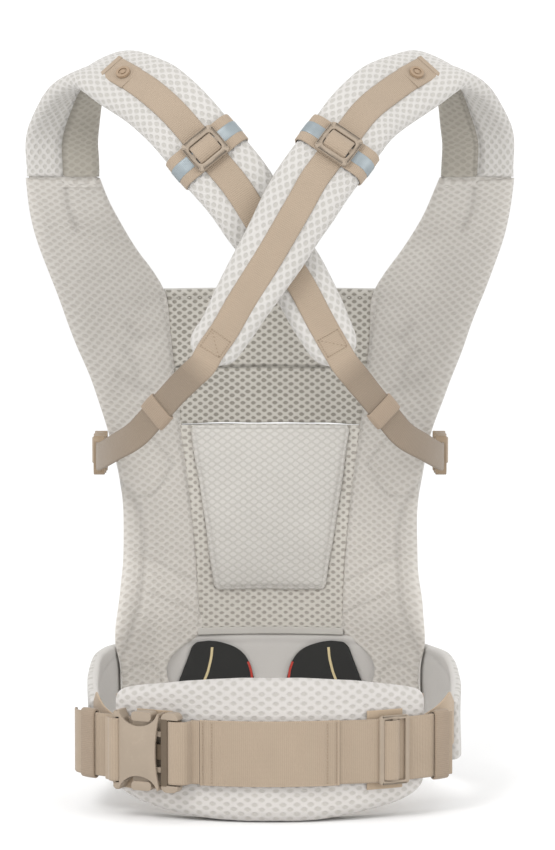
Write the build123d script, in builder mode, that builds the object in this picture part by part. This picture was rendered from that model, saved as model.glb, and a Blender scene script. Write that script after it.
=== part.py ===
"""Soft baby carrier worn on the chest, with padded straps that cross on the wearer's back.

The wearer's back is towards -Y, the baby's panel towards +Y, up is +Z and left is -X.
Lengths are millimetres. The origin is under the middle of the carrier, on the ground.
"""

import os
from math import cos, radians, sin, sqrt

from build123d import *

# ---------------------------------------------------------------- driving dimensions
SEAM = 0.5  # gap left between neighbouring soft pieces
WEB = 1.8  # thickness of woven webbing
STRAP_WEB = 22  # width of the shoulder webbing
WAIST_WEB = 50  # width of the waist webbing
WAIST_Z = 55.5  # height of the middle of the waist webbing

BELT_TOP = 112.5  # top of the waist belt under the body panel
LINER_TOP = 288  # top edge of the padded seat panel
FOLD_Z = 336  # line where the head support folds
HEAD_TOP = 401  # top edge of the head support
SHOULDER_Z = 495  # seam between side panel and shoulder strap
SHOULDER_Y = 46  # outer face of the fabric at that seam

BACK_ARC_Y = -109.8  # centre of the body panel's curve, seen from above
BACK_R = 240
FRONT_ARC_Y = 83.0  # centre of the lumbar pad's curve, seen from above
FRONT_R = 213  # outer face of the lumbar pad
PAD = 12  # thickness of the shoulder padding
PAD_WIDTH = 59  # width of the shoulder padding
LUMBAR = 22  # thickness of the lumbar pad

SIDE_BUCKLE = (138.0, 38.0, 271.5)  # middle of a side buckle's mouth, right-hand side
SIDES = {"left": -1, "right": 1}

os.makedirs("parts", exist_ok=True)


# ---------------------------------------------------------------- helpers
def write(piece, name):
    """Label a finished piece and write it as its own file."""
    piece.part.label = name
    export_step(piece.part, f"parts/{name}.step")


def arc_y(x, radius, centre_y):
    """Y of the back half of an arc seen from above, at x."""
    return centre_y + sqrt(radius * radius - x * x)


def back_wall(low, high):
    """A wall that follows the body panel's curve, between two radii about it."""
    with BuildSketch(Plane.XY.offset(-5)) as profile:
        with Locations((0, BACK_ARC_Y)):
            Circle(BACK_R + high)
            Circle(BACK_R + low, mode=Mode.SUBTRACT)
        with Locations((0, BACK_ARC_Y - 100)):
            Rectangle(700, 300, mode=Mode.SUBTRACT)
    extrude(profile.sketch, amount=650)


def front_wall(low, high):
    """A wall that follows the lumbar pad's curve, between two radii about it."""
    with BuildSketch(Plane.XY.offset(-5)) as profile:
        with Locations((0, FRONT_ARC_Y)):
            Circle(FRONT_R + high)
            Circle(FRONT_R + low, mode=Mode.SUBTRACT)
        with Locations((0, FRONT_ARC_Y + 100)):
            Rectangle(700, 300, mode=Mode.SUBTRACT)
    extrude(profile.sketch, amount=300)


def keep_outline(points):
    """Keep only what lies inside a closed outline of x and z, seen from behind."""
    with BuildSketch(Plane.XZ) as profile:
        with BuildLine():
            Polyline(*points, close=True)
        make_face()
    extrude(profile.sketch, amount=400, both=True, mode=Mode.INTERSECT)


def mirrored(points):
    """A closed outline from its right half, listed from the bottom to the top."""
    return [*points, *[(-x, z) for x, z in reversed(points)]]


def ribbon_planes(points, normals):
    """Planes across a ribbon: x runs over its width and y out of its outer face."""
    planes = []
    for i, point in enumerate(points):
        before, after = points[max(i - 1, 0)], points[min(i + 1, len(points) - 1)]
        along = (Vector(*after) - Vector(*before)).normalized()
        across = Vector(*normals[i]).cross(along).normalized()
        planes.append(Plane(origin=point, x_dir=across, z_dir=along))
    return planes


def ribbon(planes, widths, low, high):
    """A ribbon of rectangular section from plane to plane, between two heights."""
    sections = []
    for plane, width in zip(planes, widths):
        with BuildSketch(plane) as profile:
            with Locations((0, (low + high) / 2)):
                Rectangle(width, high - low)
        sections.append(profile.sketch.face())
    loft(sections, ruled=True)


def straight(start, end, inset):
    """Four points on one line, so that the ribbon between the middle two is a prism."""
    a, b = Vector(*start), Vector(*end)
    step = (b - a).normalized() * inset
    return [tuple(point) for point in (a, a + step, b - step, b)]


def sleeve(plane, length, width, low, high, wall):
    """A flat tube round a ribbon, centred on a plane across it."""
    with BuildSketch(plane.offset(-length / 2)) as profile:
        with Locations((0, (low + high) / 2)):
            Rectangle(width + 2 * wall, high - low + 2 * wall)
            Rectangle(width, high - low, mode=Mode.SUBTRACT)
    extrude(profile.sketch, amount=length)


def plan_band(points, low, high, bottom, top):
    """An upright band along a line of points seen from above, offset to its right."""
    edges = []
    for i, (x, y) in enumerate(points):
        before, after = points[max(i - 1, 0)], points[min(i + 1, len(points) - 1)]
        along = Vector(after[0] - before[0], after[1] - before[1]).normalized()
        edges.append(((x, y), (along.Y, -along.X)))
    inner = [(x + low * nx, y + low * ny) for (x, y), (nx, ny) in edges]
    outer = [(x + high * nx, y + high * ny) for (x, y), (nx, ny) in edges]
    with BuildSketch(Plane.XY.offset(bottom)) as profile:
        with BuildLine():
            Polyline(*inner, *reversed(outer), close=True)
        make_face()
    extrude(profile.sketch, amount=top - bottom)


# ---------------------------------------------------------------- body panel
# Half widths of the panel's middle part at each height, out to the side seams.
SIDE_SEAM = {BELT_TOP: 54, 176: 57, LINER_TOP: 71, FOLD_Z: 77, HEAD_TOP: 84}
EDGE_GAP = 1  # from a middle piece to its side seam
LINER_OUTLINE = [(SIDE_SEAM[z] - EDGE_GAP, z) for z in (BELT_TOP, 176, LINER_TOP)]
LINER_OUTLINE[0] = (LINER_OUTLINE[0][0], BELT_TOP + SEAM)


def middle_outline(bottom, top, bottom_half, top_half):
    """Outline of a piece between the two side seams."""
    return mirrored([(bottom_half - EDGE_GAP, bottom + SEAM), (top_half - EDGE_GAP, top)])


with BuildPart() as seat_liner:
    back_wall(-4, -1)
    keep_outline(mirrored(LINER_OUTLINE))
write(seat_liner, "mesh_seat_liner")

with BuildPart() as seat_panel:
    back_wall(-9.5, -4.3)
    keep_outline(mirrored([(41, 149), (44, 152), (66, 284), (63, LINER_TOP)]))
write(seat_panel, "padded_seat_panel")

with BuildPart() as outer_panel:
    back_wall(-0.6, 5)
    keep_outline(mirrored(LINER_OUTLINE))
write(outer_panel, "outer_panel")

with BuildPart() as neck_panel:
    back_wall(-5, 5)
    keep_outline(middle_outline(LINER_TOP, FOLD_Z - SEAM, SIDE_SEAM[LINER_TOP], SIDE_SEAM[FOLD_Z]))
write(neck_panel, "neck_panel")

with BuildPart() as head_support:
    back_wall(-5, 5)
    keep_outline(middle_outline(FOLD_Z, HEAD_TOP, SIDE_SEAM[FOLD_Z], SIDE_SEAM[HEAD_TOP]))
write(head_support, "head_support")

# Stations of a side panel: height, then x and y of its inner and its outer edge.
PANEL_STATIONS = [
    (BELT_TOP + SEAM, 58.5, None, 131, 64),
    (134, 59, None, 126, 79),
    (176, 60, None, 122, 92),
    (232, 66, None, 123, None),
    (276, 72, None, 131, None),
    (318, 77, None, 144, None),
    (362, 82, None, 160, 70),
    (HEAD_TOP, 87, 108, 174, 57),
    (436, 109, 84, 186, 46),
    (470, 127, 55, 194, 41),
    (SHOULDER_Z - SEAM, 137, SHOULDER_Y - PAD / 2, 197, SHOULDER_Y - PAD / 2),
]


def side_panel_stations(sign):
    """Inner and outer edge points of one side panel, on its middle surface."""
    for z, inner_x, inner_y, outer_x, outer_y in PANEL_STATIONS:
        if inner_y is None:
            inner_y = arc_y(inner_x, BACK_R, BACK_ARC_Y)
        if outer_y is None:
            outer_y = arc_y(outer_x, BACK_R, BACK_ARC_Y)
        yield Vector(sign * inner_x, inner_y, z), Vector(sign * outer_x, outer_y, z)


for side, sign in SIDES.items():
    with BuildPart() as side_panel:
        for inner, outer in side_panel_stations(sign):
            width = (outer - inner).length
            level = Plane(origin=(inner + outer) / 2, x_dir=outer - inner, z_dir=(0, 0, 1))
            with BuildSketch(level):
                Rectangle(width, PAD - 2)
        loft(ruled=True)
    write(side_panel, f"{side}_side_panel")

# ---------------------------------------------------------------- shoulder straps
# Outer middle line of a strap over the shoulder, right-hand side, with outward normals.
SHOULDER_LINE = [
    ((167, SHOULDER_Y, SHOULDER_Z + SEAM), (0, 1, 0)),
    ((167, SHOULDER_Y, SHOULDER_Z + 6), (0, 1, 0)),
    ((168, 43, 526), (0.08, 0.97, 0.25)),
    ((164, 30, 553), (0.42, 0.65, 0.63)),
    ((154, 9, 577), (0.55, 0.22, 0.8)),
    ((136, -12, 586), (0.36, -0.2, 0.91)),
    ((114, -34, 576), (0.28, -0.66, 0.68)),
    ((93, -53, 563), (0.25, -0.85, 0.45)),
]
# From the slider down to the padding's rounded end: the left strap lies underneath.
CHEST_LINE = {
    "left": straight((67, -73, 539), (31, -88, 497), 6)
    + [(3, -93, 455), (-24, -97, 415), (-40, -98, 385), (-52, -98, 364), (-58, -98, 354)],
    "right": straight((69, -78, 542), (36, -102, 499), 6)
    + [(23, -108, 477), (-1, -113, 436), (-23, -116, 401), (-35, -116, 380),
       (-46, -115, 364), (-51, -114.5, 355)],
}
SLIDER_NORMAL = {"left": (0.1, -0.96, 0.26), "right": (0.1, -0.9, 0.4)}
PAD_TAPER = {"left": [54, 48, 44, 38, 28], "right": [58, 52, 46, 42, 38, 28]}
# The bare webbing goes on past the padding, round to the side buckle.
TAIL_LINE = {
    "left": [(-66, -97, 344)] + straight((-76, -95, 331), (-99, -82, 302), 5)
    + [(-121, -57, 285), (-134, -22, 275), (-138, 19, 271.5)],
    "right": [(-60, -111, 346)] + straight((-74, -102, 331), (-99, -84, 302), 5)
    + [(-121, -57, 285), (-134, -22, 275), (-138, 19, 271.5)],
}
TAIL_NORMALS = [(-0.1, -1, 0)] + 4 * [(-0.35, -0.93, 0.1)] + [
    (-0.75, -0.66, 0.05), (-0.97, -0.25, 0), (-1, 0, 0),
]


def flip(point, sign):
    """A right-hand point on the strap of the given side."""
    return (sign * point[0], point[1], point[2])


def strap_planes(side, sign):
    """Planes along a whole strap, the number on the padding, and the slider's place."""
    chest = CHEST_LINE[side]
    points = [point for point, _ in SHOULDER_LINE] + chest + TAIL_LINE[side]
    normals = [normal for _, normal in SHOULDER_LINE]
    normals += 4 * [SLIDER_NORMAL[side]]
    normals += (len(chest) - 4) * [(0, -1, 0.06)] + TAIL_NORMALS
    return ribbon_planes([flip(p, sign) for p in points], [flip(n, sign) for n in normals])


PADDED = {side: len(SHOULDER_LINE) + len(CHEST_LINE[side]) for side in SIDES}
SNAP_AT = 6  # station that carries the snap
SLIDER_AT = len(SHOULDER_LINE) + 1  # first station of the slider's straight run


def between(first, second, share=0.5):
    """The plane part of the way from one plane to another that faces the same way."""
    origin = first.origin + (second.origin - first.origin) * share
    return Plane(origin=origin, x_dir=first.x_dir, z_dir=first.z_dir)


def slider_plate(plane, along, across, window, low, high, bar):
    """A two-slot slider lying on a ribbon, with rounded corners and a middle bar."""
    flat = Plane(origin=plane.origin, x_dir=plane.x_dir, z_dir=plane.y_dir)
    with BuildSketch(flat.offset(low)) as profile:
        RectangleRounded(across, along, 4)
        RectangleRounded(window[0], window[1], 3, mode=Mode.SUBTRACT)
        Rectangle(window[0] + 1, bar)
    extrude(profile.sketch, amount=high - low)


for side, sign in SIDES.items():
    planes = strap_planes(side, sign)
    padded = PADDED[side]
    taper = len(SHOULDER_LINE) * [PAD_WIDTH] + 4 * [PAD_WIDTH] + PAD_TAPER[side]

    with BuildPart() as shoulder_pad:
        ribbon(planes[:padded], taper, -PAD, 0)
    write(shoulder_pad, f"{side}_shoulder_pad")

    with BuildPart() as webbing:
        run = planes[SNAP_AT + 1 :]
        ribbon(run, len(run) * [STRAP_WEB], 0.3, 0.3 + WEB)
    write(webbing, f"{side}_strap_webbing")

    # A folded tab of webbing and its ring snap, on the straight stretch at the shoulder.
    tab = planes[SNAP_AT]
    face = Plane(origin=tab.origin, x_dir=tab.x_dir, z_dir=tab.y_dir)
    with BuildPart() as snap_tab:
        with BuildSketch(face.offset(0.5)):
            with Locations((0, -4)):
                Rectangle(STRAP_WEB, 26)
        extrude(amount=WEB)
    write(snap_tab, f"{side}_snap_tab")

    with BuildPart() as snap:
        with BuildSketch(face.offset(2.6)):
            Circle(5.6)
        extrude(amount=1.4)
        with BuildSketch(face.offset(4)):
            Circle(5.6)
            Circle(3.6, mode=Mode.SUBTRACT)
        extrude(amount=0.9)
        with BuildSketch(face.offset(4)):
            Circle(2)
        extrude(amount=0.7)
    write(snap, f"{side}_snap")

    middle = between(planes[SLIDER_AT], planes[SLIDER_AT + 1])
    with BuildPart() as band:
        sleeve(middle, 26, PAD_WIDTH + 1, -PAD - 0.5, WEB + 0.8, 1.3)
    write(band, f"{side}_slider_band")

    with BuildPart() as stripe:
        sleeve(middle, 11, PAD_WIDTH + 1 + 2.8, -PAD - 1.9, WEB + 2.2, 0.6)
    write(stripe, f"{side}_reflective_stripe")

    with BuildPart() as slider:
        slider_plate(middle, 27, 30, (22, 17), WEB + 3.1, WEB + 6, 4)
    write(slider, f"{side}_chest_slider")

    keeper_at = padded + 2
    middle = between(planes[keeper_at], planes[keeper_at + 1])
    with BuildPart() as keeper:
        sleeve(middle, 15, STRAP_WEB + 1, -0.3, WEB + 0.9, 1.6)
    write(keeper, f"{side}_tail_keeper")


# ---------------------------------------------------------------- side-release buckles
SCOOP_RISE = 2  # how far outside a socket's long side its window's middle lies


def buckle_socket(home, size, mouth, window, slot):
    """Female half: a flat box with a mouth at +x, side windows and a webbing slot.

    home is a plane through the mouth's middle, with x out of the mouth and z out of
    the face. size is length, half width and half thickness. mouth is the cavity's depth,
    half width and half height. window is an elliptical scoop out of each long side: its
    middle's distance from the mouth, and its reach along and across. slot is its two
    distances from the mouth and its half width.
    """
    length, half, thick = size
    with BuildSketch(home.offset(-thick)) as profile:
        with Locations((-length / 2, 0)):
            RectangleRounded(length, 2 * half, 3)
    extrude(profile.sketch, amount=2 * thick)
    with BuildSketch(home.offset(-mouth[2])) as profile:
        with Locations((-mouth[0] / 2, 0)):
            Rectangle(mouth[0], 2 * mouth[1])
    extrude(profile.sketch, amount=2 * mouth[2], mode=Mode.SUBTRACT)
    for way in (-1, 1):
        with BuildSketch(home.offset(-thick)) as profile:
            with Locations((-window[0], way * (half + SCOOP_RISE))):
                Ellipse(window[1], window[2] + SCOOP_RISE)
        extrude(profile.sketch, amount=2 * thick, mode=Mode.SUBTRACT)
    with BuildSketch(home.offset(-thick)) as profile:
        with Locations((-(slot[0] + slot[1]) / 2, 0)):
            Rectangle(slot[1] - slot[0], 2 * slot[2])
    extrude(profile.sketch, amount=2 * thick, mode=Mode.SUBTRACT)


def buckle_plug(home, base, slot, tongue):
    """Male half without its prongs: base with a webbing slot, and the guiding tongue.

    base is its two distances out of the mouth, half width and half thickness, slot its
    two distances and half width, tongue its depth, half width and half thickness.
    """
    with BuildSketch(home.offset(-base[3])) as profile:
        with Locations(((base[0] + base[1]) / 2, 0)):
            RectangleRounded(base[1] - base[0], 2 * base[2], (base[1] - base[0]) / 3)
        with Locations(((slot[0] + slot[1]) / 2, 0)):
            Rectangle(slot[1] - slot[0], 2 * slot[2], mode=Mode.SUBTRACT)
    extrude(profile.sketch, amount=2 * base[3])
    with BuildSketch(home.offset(-tongue[2])) as profile:
        with Locations(((base[0] + 1 - tongue[0]) / 2, 0)):
            Rectangle(tongue[0] + base[0] + 1, 2 * tongue[1])
    extrude(profile.sketch, amount=2 * tongue[2])


def buckle_prong(home, way, arm, head, pad):
    """One sprung prong: an arm from the base, a head and the pad in the side window.

    arm is its start, tip, inner and outer edge and half thickness, head its two
    distances, and pad the half widths where it starts and ends and its half thickness.
    """
    corner = 0.4 * (pad[1] - pad[0])
    with BuildSketch(home.offset(-arm[4])) as profile:
        with Locations(((arm[0] + arm[1]) / 2, way * (arm[2] + arm[3]) / 2)):
            Rectangle(arm[0] - arm[1], arm[3] - arm[2])
        with Locations(((head[0] + head[1]) / 2, way * (arm[2] + pad[1]) / 2)):
            RectangleRounded(head[0] - head[1], pad[1] - arm[2], corner)
    extrude(profile.sketch, amount=2 * arm[4])
    with BuildSketch(home.offset(-pad[2])) as profile:
        with Locations(((head[0] + head[1]) / 2, way * (pad[0] + pad[1]) / 2)):
            RectangleRounded(head[0] - head[1], pad[1] - pad[0], corner)
    extrude(profile.sketch, amount=2 * pad[2])


for side, sign in SIDES.items():
    x, y, z = SIDE_BUCKLE
    home = Plane(origin=(sign * x, y, z), x_dir=(0, -1, 0), z_dir=(-1, 0, 0))
    with BuildPart() as socket:
        buckle_socket(home, (31, 16, 5), (21, 13.4, 3.3), (12, 8.6, 6.1), (24, 27.5, 11.6))
    write(socket, f"{side}_side_buckle_socket")
    with BuildPart() as plug:
        buckle_plug(home, (0.6, 18, 16, 4.4), (9, 12.5, 11.6), (17, 2.6, 2.2))
    write(plug, f"{side}_side_buckle_plug")
    for name, way in (("upper", 1), ("lower", -1)):
        with BuildPart() as prong:
            buckle_prong(home, way, (0.4, -18, 6.5, 9, 2.2), (-7, -16), (12.8, 15.8, 4.2))
        write(prong, f"{side}_side_buckle_{name}_prong")

    # A loop of webbing sewn to the side panel's edge holds the socket by its end bar.
    bar_y = y + 29.3
    with BuildPart() as loop:
        with BuildSketch(Plane.XY.offset(z - STRAP_WEB / 2)):
            with Locations((sign * x, bar_y + 3)):
                RectangleRounded(2 * WEB + 11.4, 2 * WEB + 10.4, 2.5)
                RectangleRounded(11.4, 10.4, 0.8, mode=Mode.SUBTRACT)
            with Locations((sign * (x - 9.5), bar_y + 9)):
                Rectangle(7, WEB)
            with Locations((sign * (x - 12.1), bar_y + 13)):
                Rectangle(WEB, 9.8)
        extrude(amount=STRAP_WEB)
    write(loop, f"{side}_side_buckle_loop")

# ---------------------------------------------------------------- waist belt
with BuildPart() as belt:
    back_wall(-5, 5)
    keep_outline(mirrored([(72, 0), (104, 14), (106, BELT_TOP)]))
write(belt, "waist_belt")

for side, sign in SIDES.items():
    with BuildPart() as patch:
        back_wall(-6.6, -5.4)
        keep_outline([(sign * a, b) for a, b in
                      ((10, 58), (16, 82), (26, 96), (38, 103), (56, 104), (64, 90), (80, 58))])
    write(patch, f"{side}_seat_width_patch")

# Middle line of each belt wing seen from above, as on the right-hand side, from the front
# backwards: the left wing is drawn in a little by its buckle.
WING_LINE = {
    "left": [(138, -48), (141.5, -22), (142, 4), (138.5, 34), (129.5, 64), (112, 91)],
    "right": [(145, -48), (148.5, -22), (148, 4), (142, 34), (130, 64), (112, 91)],
}
WING_OUTLINE = [(-46, 34), (6, 31), (90, 16), (100, 16), (100, 112), (30, 110), (-2, 100), (-46, 83)]


def sided(points, sign):
    """Right-hand points of a line seen from above, on the given side, in the same sense."""
    moved = [(sign * px, py) for px, py in points]
    return moved if sign > 0 else moved[::-1]


for side, sign in SIDES.items():
    with BuildPart() as wing:
        plan_band(sided(WING_LINE[side], sign), -5, 4, 0, 120)
        with BuildSketch(Plane.YZ):
            with BuildLine():
                Polyline(*WING_OUTLINE, close=True)
            make_face()
        extrude(amount=300, both=True, mode=Mode.INTERSECT)
    write(wing, f"{side}_belt_wing")

# Below the body panel its fabric runs on down inside the belt, as a thin skirt.
SKIRT_LINE = [(123.5, 60.5), (106, 87), (96, 98.5), (82, 107)]
# A tan gusset ties the front edge of each wing to the end of the lumbar pad.
GUSSET_LINE = {
    "left": [(105.5, -103.4), (118.2, -95.6), (129, -80.5), (135.5, -64), (139, -48)],
    "right": [(105.5, -103.4), (118.2, -95.6), (131, -80.5), (140, -64), (145.5, -48)],
}
GUSSET_TOP = [(-47.2, 80), (-60, 93), (-80, 84), (-95, 79), (-104, 79)]
GUSSET_LOW = {"left": [(-104, 23), (-95, 24), (-47.2, 50)], "right": [(-104, 34), (-95, 34), (-47.2, 50)]}

for side, sign in SIDES.items():
    with BuildPart() as skirt:
        plan_band(sided(SKIRT_LINE, sign), -1.3, 1.3, 58, BELT_TOP - SEAM)
    write(skirt, f"{side}_panel_skirt")

    with BuildPart() as gusset:
        plan_band(sided(GUSSET_LINE[side], sign), -0.6, 0.6, 0, BELT_TOP)
        with BuildSketch(Plane.YZ):
            with BuildLine():
                Polyline(*GUSSET_LOW[side], *GUSSET_TOP, close=True)
            make_face()
        extrude(amount=300, both=True, mode=Mode.INTERSECT)
    write(gusset, f"{side}_gusset")

# ---------------------------------------------------------------- lumbar pad
LUMBAR_TOP = [(118, 99), (96, 104), (60, 110), (22, 113)]
CHANNEL_HALF = WAIST_WEB / 2 + 2  # half height of the channel sewn over the belt
with BuildPart() as lumbar_pad:
    front_wall(-LUMBAR, 0)
    keep_outline(mirrored([(34, 0), (72, 5), (104, 13), (117, 22), *LUMBAR_TOP]))
write(lumbar_pad, "lumbar_pad")

with BuildPart() as lumbar_backing:
    front_wall(-LUMBAR - 2.2, -LUMBAR - 0.4)
    keep_outline(mirrored([(34, 3), (72, 8), (104, 16), (121, 26), (121, 94), *LUMBAR_TOP[1:]]))
write(lumbar_backing, "lumbar_backing")

with BuildPart() as lumbar_channel:
    front_wall(WEB + 2, WEB + 3.4)
    keep_outline(mirrored([(54, WAIST_Z - CHANNEL_HALF), (54, WAIST_Z + CHANNEL_HALF)]))
write(lumbar_channel, "lumbar_channel")

with BuildPart() as lumbar_loops:
    front_wall(0.2, 1.2)
    keep_outline(mirrored([(103, WAIST_Z - 31), (103, WAIST_Z + 31)]))
    with BuildSketch(Plane.XZ):
        with Locations((0, WAIST_Z)):
            Rectangle(150, 80)
    extrude(amount=400, both=True, mode=Mode.SUBTRACT)
write(lumbar_loops, "lumbar_end_loops")

# ---------------------------------------------------------------- waist buckle
BUCKLE_R = FRONT_R + 8.2  # the buckle's middle plane is a tangent at this radius
BUCKLE_TURN = 25.1  # degrees round the belt from its middle
MOUTH_R = 114  # the waist socket's mouth is a shallow arc
MOUTH_SAG = 3
GLIDE_TURN = 26.1  # the tri-glide's middle, the same way


def on_belt(turn, radius):
    """Plane tangent to the front curve: x runs left to right, z points outwards."""
    angle = radians(turn)
    origin = (radius * sin(angle), FRONT_ARC_Y - radius * cos(angle), WAIST_Z)
    return Plane(origin=origin, x_dir=(cos(angle), sin(angle), 0), z_dir=(sin(angle), -cos(angle), 0))


home = on_belt(-BUCKLE_TURN, BUCKLE_R)
mouth = Plane(origin=home.origin + home.x_dir * 11.5, x_dir=home.x_dir, z_dir=home.z_dir)
with BuildPart() as waist_socket:
    buckle_socket(mouth, (39, 31, 6.5), (31, 26.5, 3.8), (17.5, 16.8, 11.5), (34, 37, 25.6))
    with BuildSketch(mouth.offset(-7)) as profile:
        with Locations((MOUTH_R - MOUTH_SAG, 0)):
            Circle(MOUTH_R)
    extrude(profile.sketch, amount=14, mode=Mode.SUBTRACT)
write(waist_socket, "waist_buckle_socket")
with BuildPart() as waist_plug:
    buckle_plug(mouth, (1.5, 16, 31, 5), (7, 18, 25.6), (21, 6, 3))
    with BuildSketch(Plane.XY.offset(WAIST_Z - 26)):
        bar = mouth.origin + mouth.x_dir * 10
        with Locations((bar.X, bar.Y)):
            Circle(2)
    extrude(amount=52)
write(waist_plug, "waist_buckle_plug")
for name, way in (("upper", 1), ("lower", -1)):
    with BuildPart() as prong:
        buckle_prong(mouth, way, (1.3, -25, 12, 16, 3), (-6.5, -23.5), (23.6, 30.6, 6))
    write(prong, f"waist_buckle_{name}_prong")

# ---------------------------------------------------------------- waist webbing
WEB_R = FRONT_R + 1.5  # inner face of the waist webbing, seen from above


def on_front(turns, radius):
    """Points on the front curve at some angles, in degrees from the middle."""
    spots = [on_belt(turn, radius).origin for turn in turns]
    return [(spot.X, spot.Y) for spot in spots]


WEB_LOW, WEB_HIGH = WAIST_Z - WAIST_WEB / 2, WAIST_Z + WAIST_WEB / 2
BAR_TURN = -16.4  # where the webbing meets the plug's bar
GLIDE_SPAN = 7  # degrees each side of the tri-glide where the webbing is flat
with BuildPart() as front_webbing:
    run = on_front([BAR_TURN, -12, -8, -4, 0, 4, 8, 12, 16], WEB_R)
    run += on_front([GLIDE_TURN - GLIDE_SPAN, GLIDE_TURN + GLIDE_SPAN, 34.5, 41], WEB_R + WEB)
    plan_band(run, 0, WEB, WEB_LOW, WEB_HIGH)
write(front_webbing, "front_waist_webbing")

with BuildPart() as left_webbing:
    rear = home.origin - home.x_dir * 28
    run = [(-154, -20), (-152, -50), *on_front([-44, -37, -34], WEB_R + WEB)]
    run.append((rear.X, rear.Y))
    plan_band(run, 0, WEB, WEB_LOW, WEB_HIGH)
write(left_webbing, "left_waist_webbing")

glide = on_belt(GLIDE_TURN, WEB_R + 0.2)
with BuildPart() as triglide:
    with BuildSketch(glide.offset(WEB + 0.6)):
        RectangleRounded(26, WAIST_WEB + 4, 3)
        with Locations((-5.4, 0), (6, 0)):
            Rectangle(7, WAIST_WEB - 2, mode=Mode.SUBTRACT)
    extrude(amount=3.4)
write(triglide, "waist_triglide")


def waist_keeper(turn, radius):
    """A loop of webbing round the waist webbing."""
    place = on_belt(turn, radius)
    with BuildSketch(Plane(origin=place.origin, x_dir=(0, 0, 1), z_dir=place.x_dir)) as profile:
        Rectangle(WAIST_WEB + 5, WEB + 5.4)
        Rectangle(WAIST_WEB + 2, WEB + 2.6, mode=Mode.SUBTRACT)
    extrude(profile.sketch, amount=7, both=True)


KEEPER_R = WEB_R + 1.5 + WEB / 2
with BuildPart() as right_keeper:
    waist_keeper(37.75, KEEPER_R)
write(right_keeper, "right_waist_keeper")
with BuildPart() as left_keeper:
    waist_keeper(-40.5, KEEPER_R)
write(left_keeper, "left_waist_keeper")
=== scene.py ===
import math

import bpy
import numpy as np
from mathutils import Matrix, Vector, kdtree, noise


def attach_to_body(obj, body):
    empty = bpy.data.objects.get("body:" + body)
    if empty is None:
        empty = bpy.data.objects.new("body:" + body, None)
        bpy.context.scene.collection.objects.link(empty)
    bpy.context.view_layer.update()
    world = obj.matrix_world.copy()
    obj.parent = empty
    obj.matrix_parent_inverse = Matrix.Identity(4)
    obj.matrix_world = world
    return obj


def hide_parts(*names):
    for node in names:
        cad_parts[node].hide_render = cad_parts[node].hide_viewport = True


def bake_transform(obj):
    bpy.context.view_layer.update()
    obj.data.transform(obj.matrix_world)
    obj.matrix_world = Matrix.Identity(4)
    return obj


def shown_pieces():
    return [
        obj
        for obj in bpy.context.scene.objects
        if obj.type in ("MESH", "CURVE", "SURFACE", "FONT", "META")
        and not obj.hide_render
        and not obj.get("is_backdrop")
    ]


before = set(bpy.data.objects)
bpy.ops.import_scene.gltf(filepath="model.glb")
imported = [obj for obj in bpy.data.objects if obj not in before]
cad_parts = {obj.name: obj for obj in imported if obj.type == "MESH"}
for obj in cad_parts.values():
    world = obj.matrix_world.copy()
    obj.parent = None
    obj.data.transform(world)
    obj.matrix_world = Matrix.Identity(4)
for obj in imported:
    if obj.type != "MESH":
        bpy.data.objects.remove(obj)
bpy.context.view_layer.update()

scene = bpy.context.scene
scene.view_settings.view_transform = "Standard"

MM = 0.001  # everything below is worked out in millimetres and made in metres
SIDES = {"left": -1, "right": 1}

# ---------------------------------------------------------------- node helpers


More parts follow.
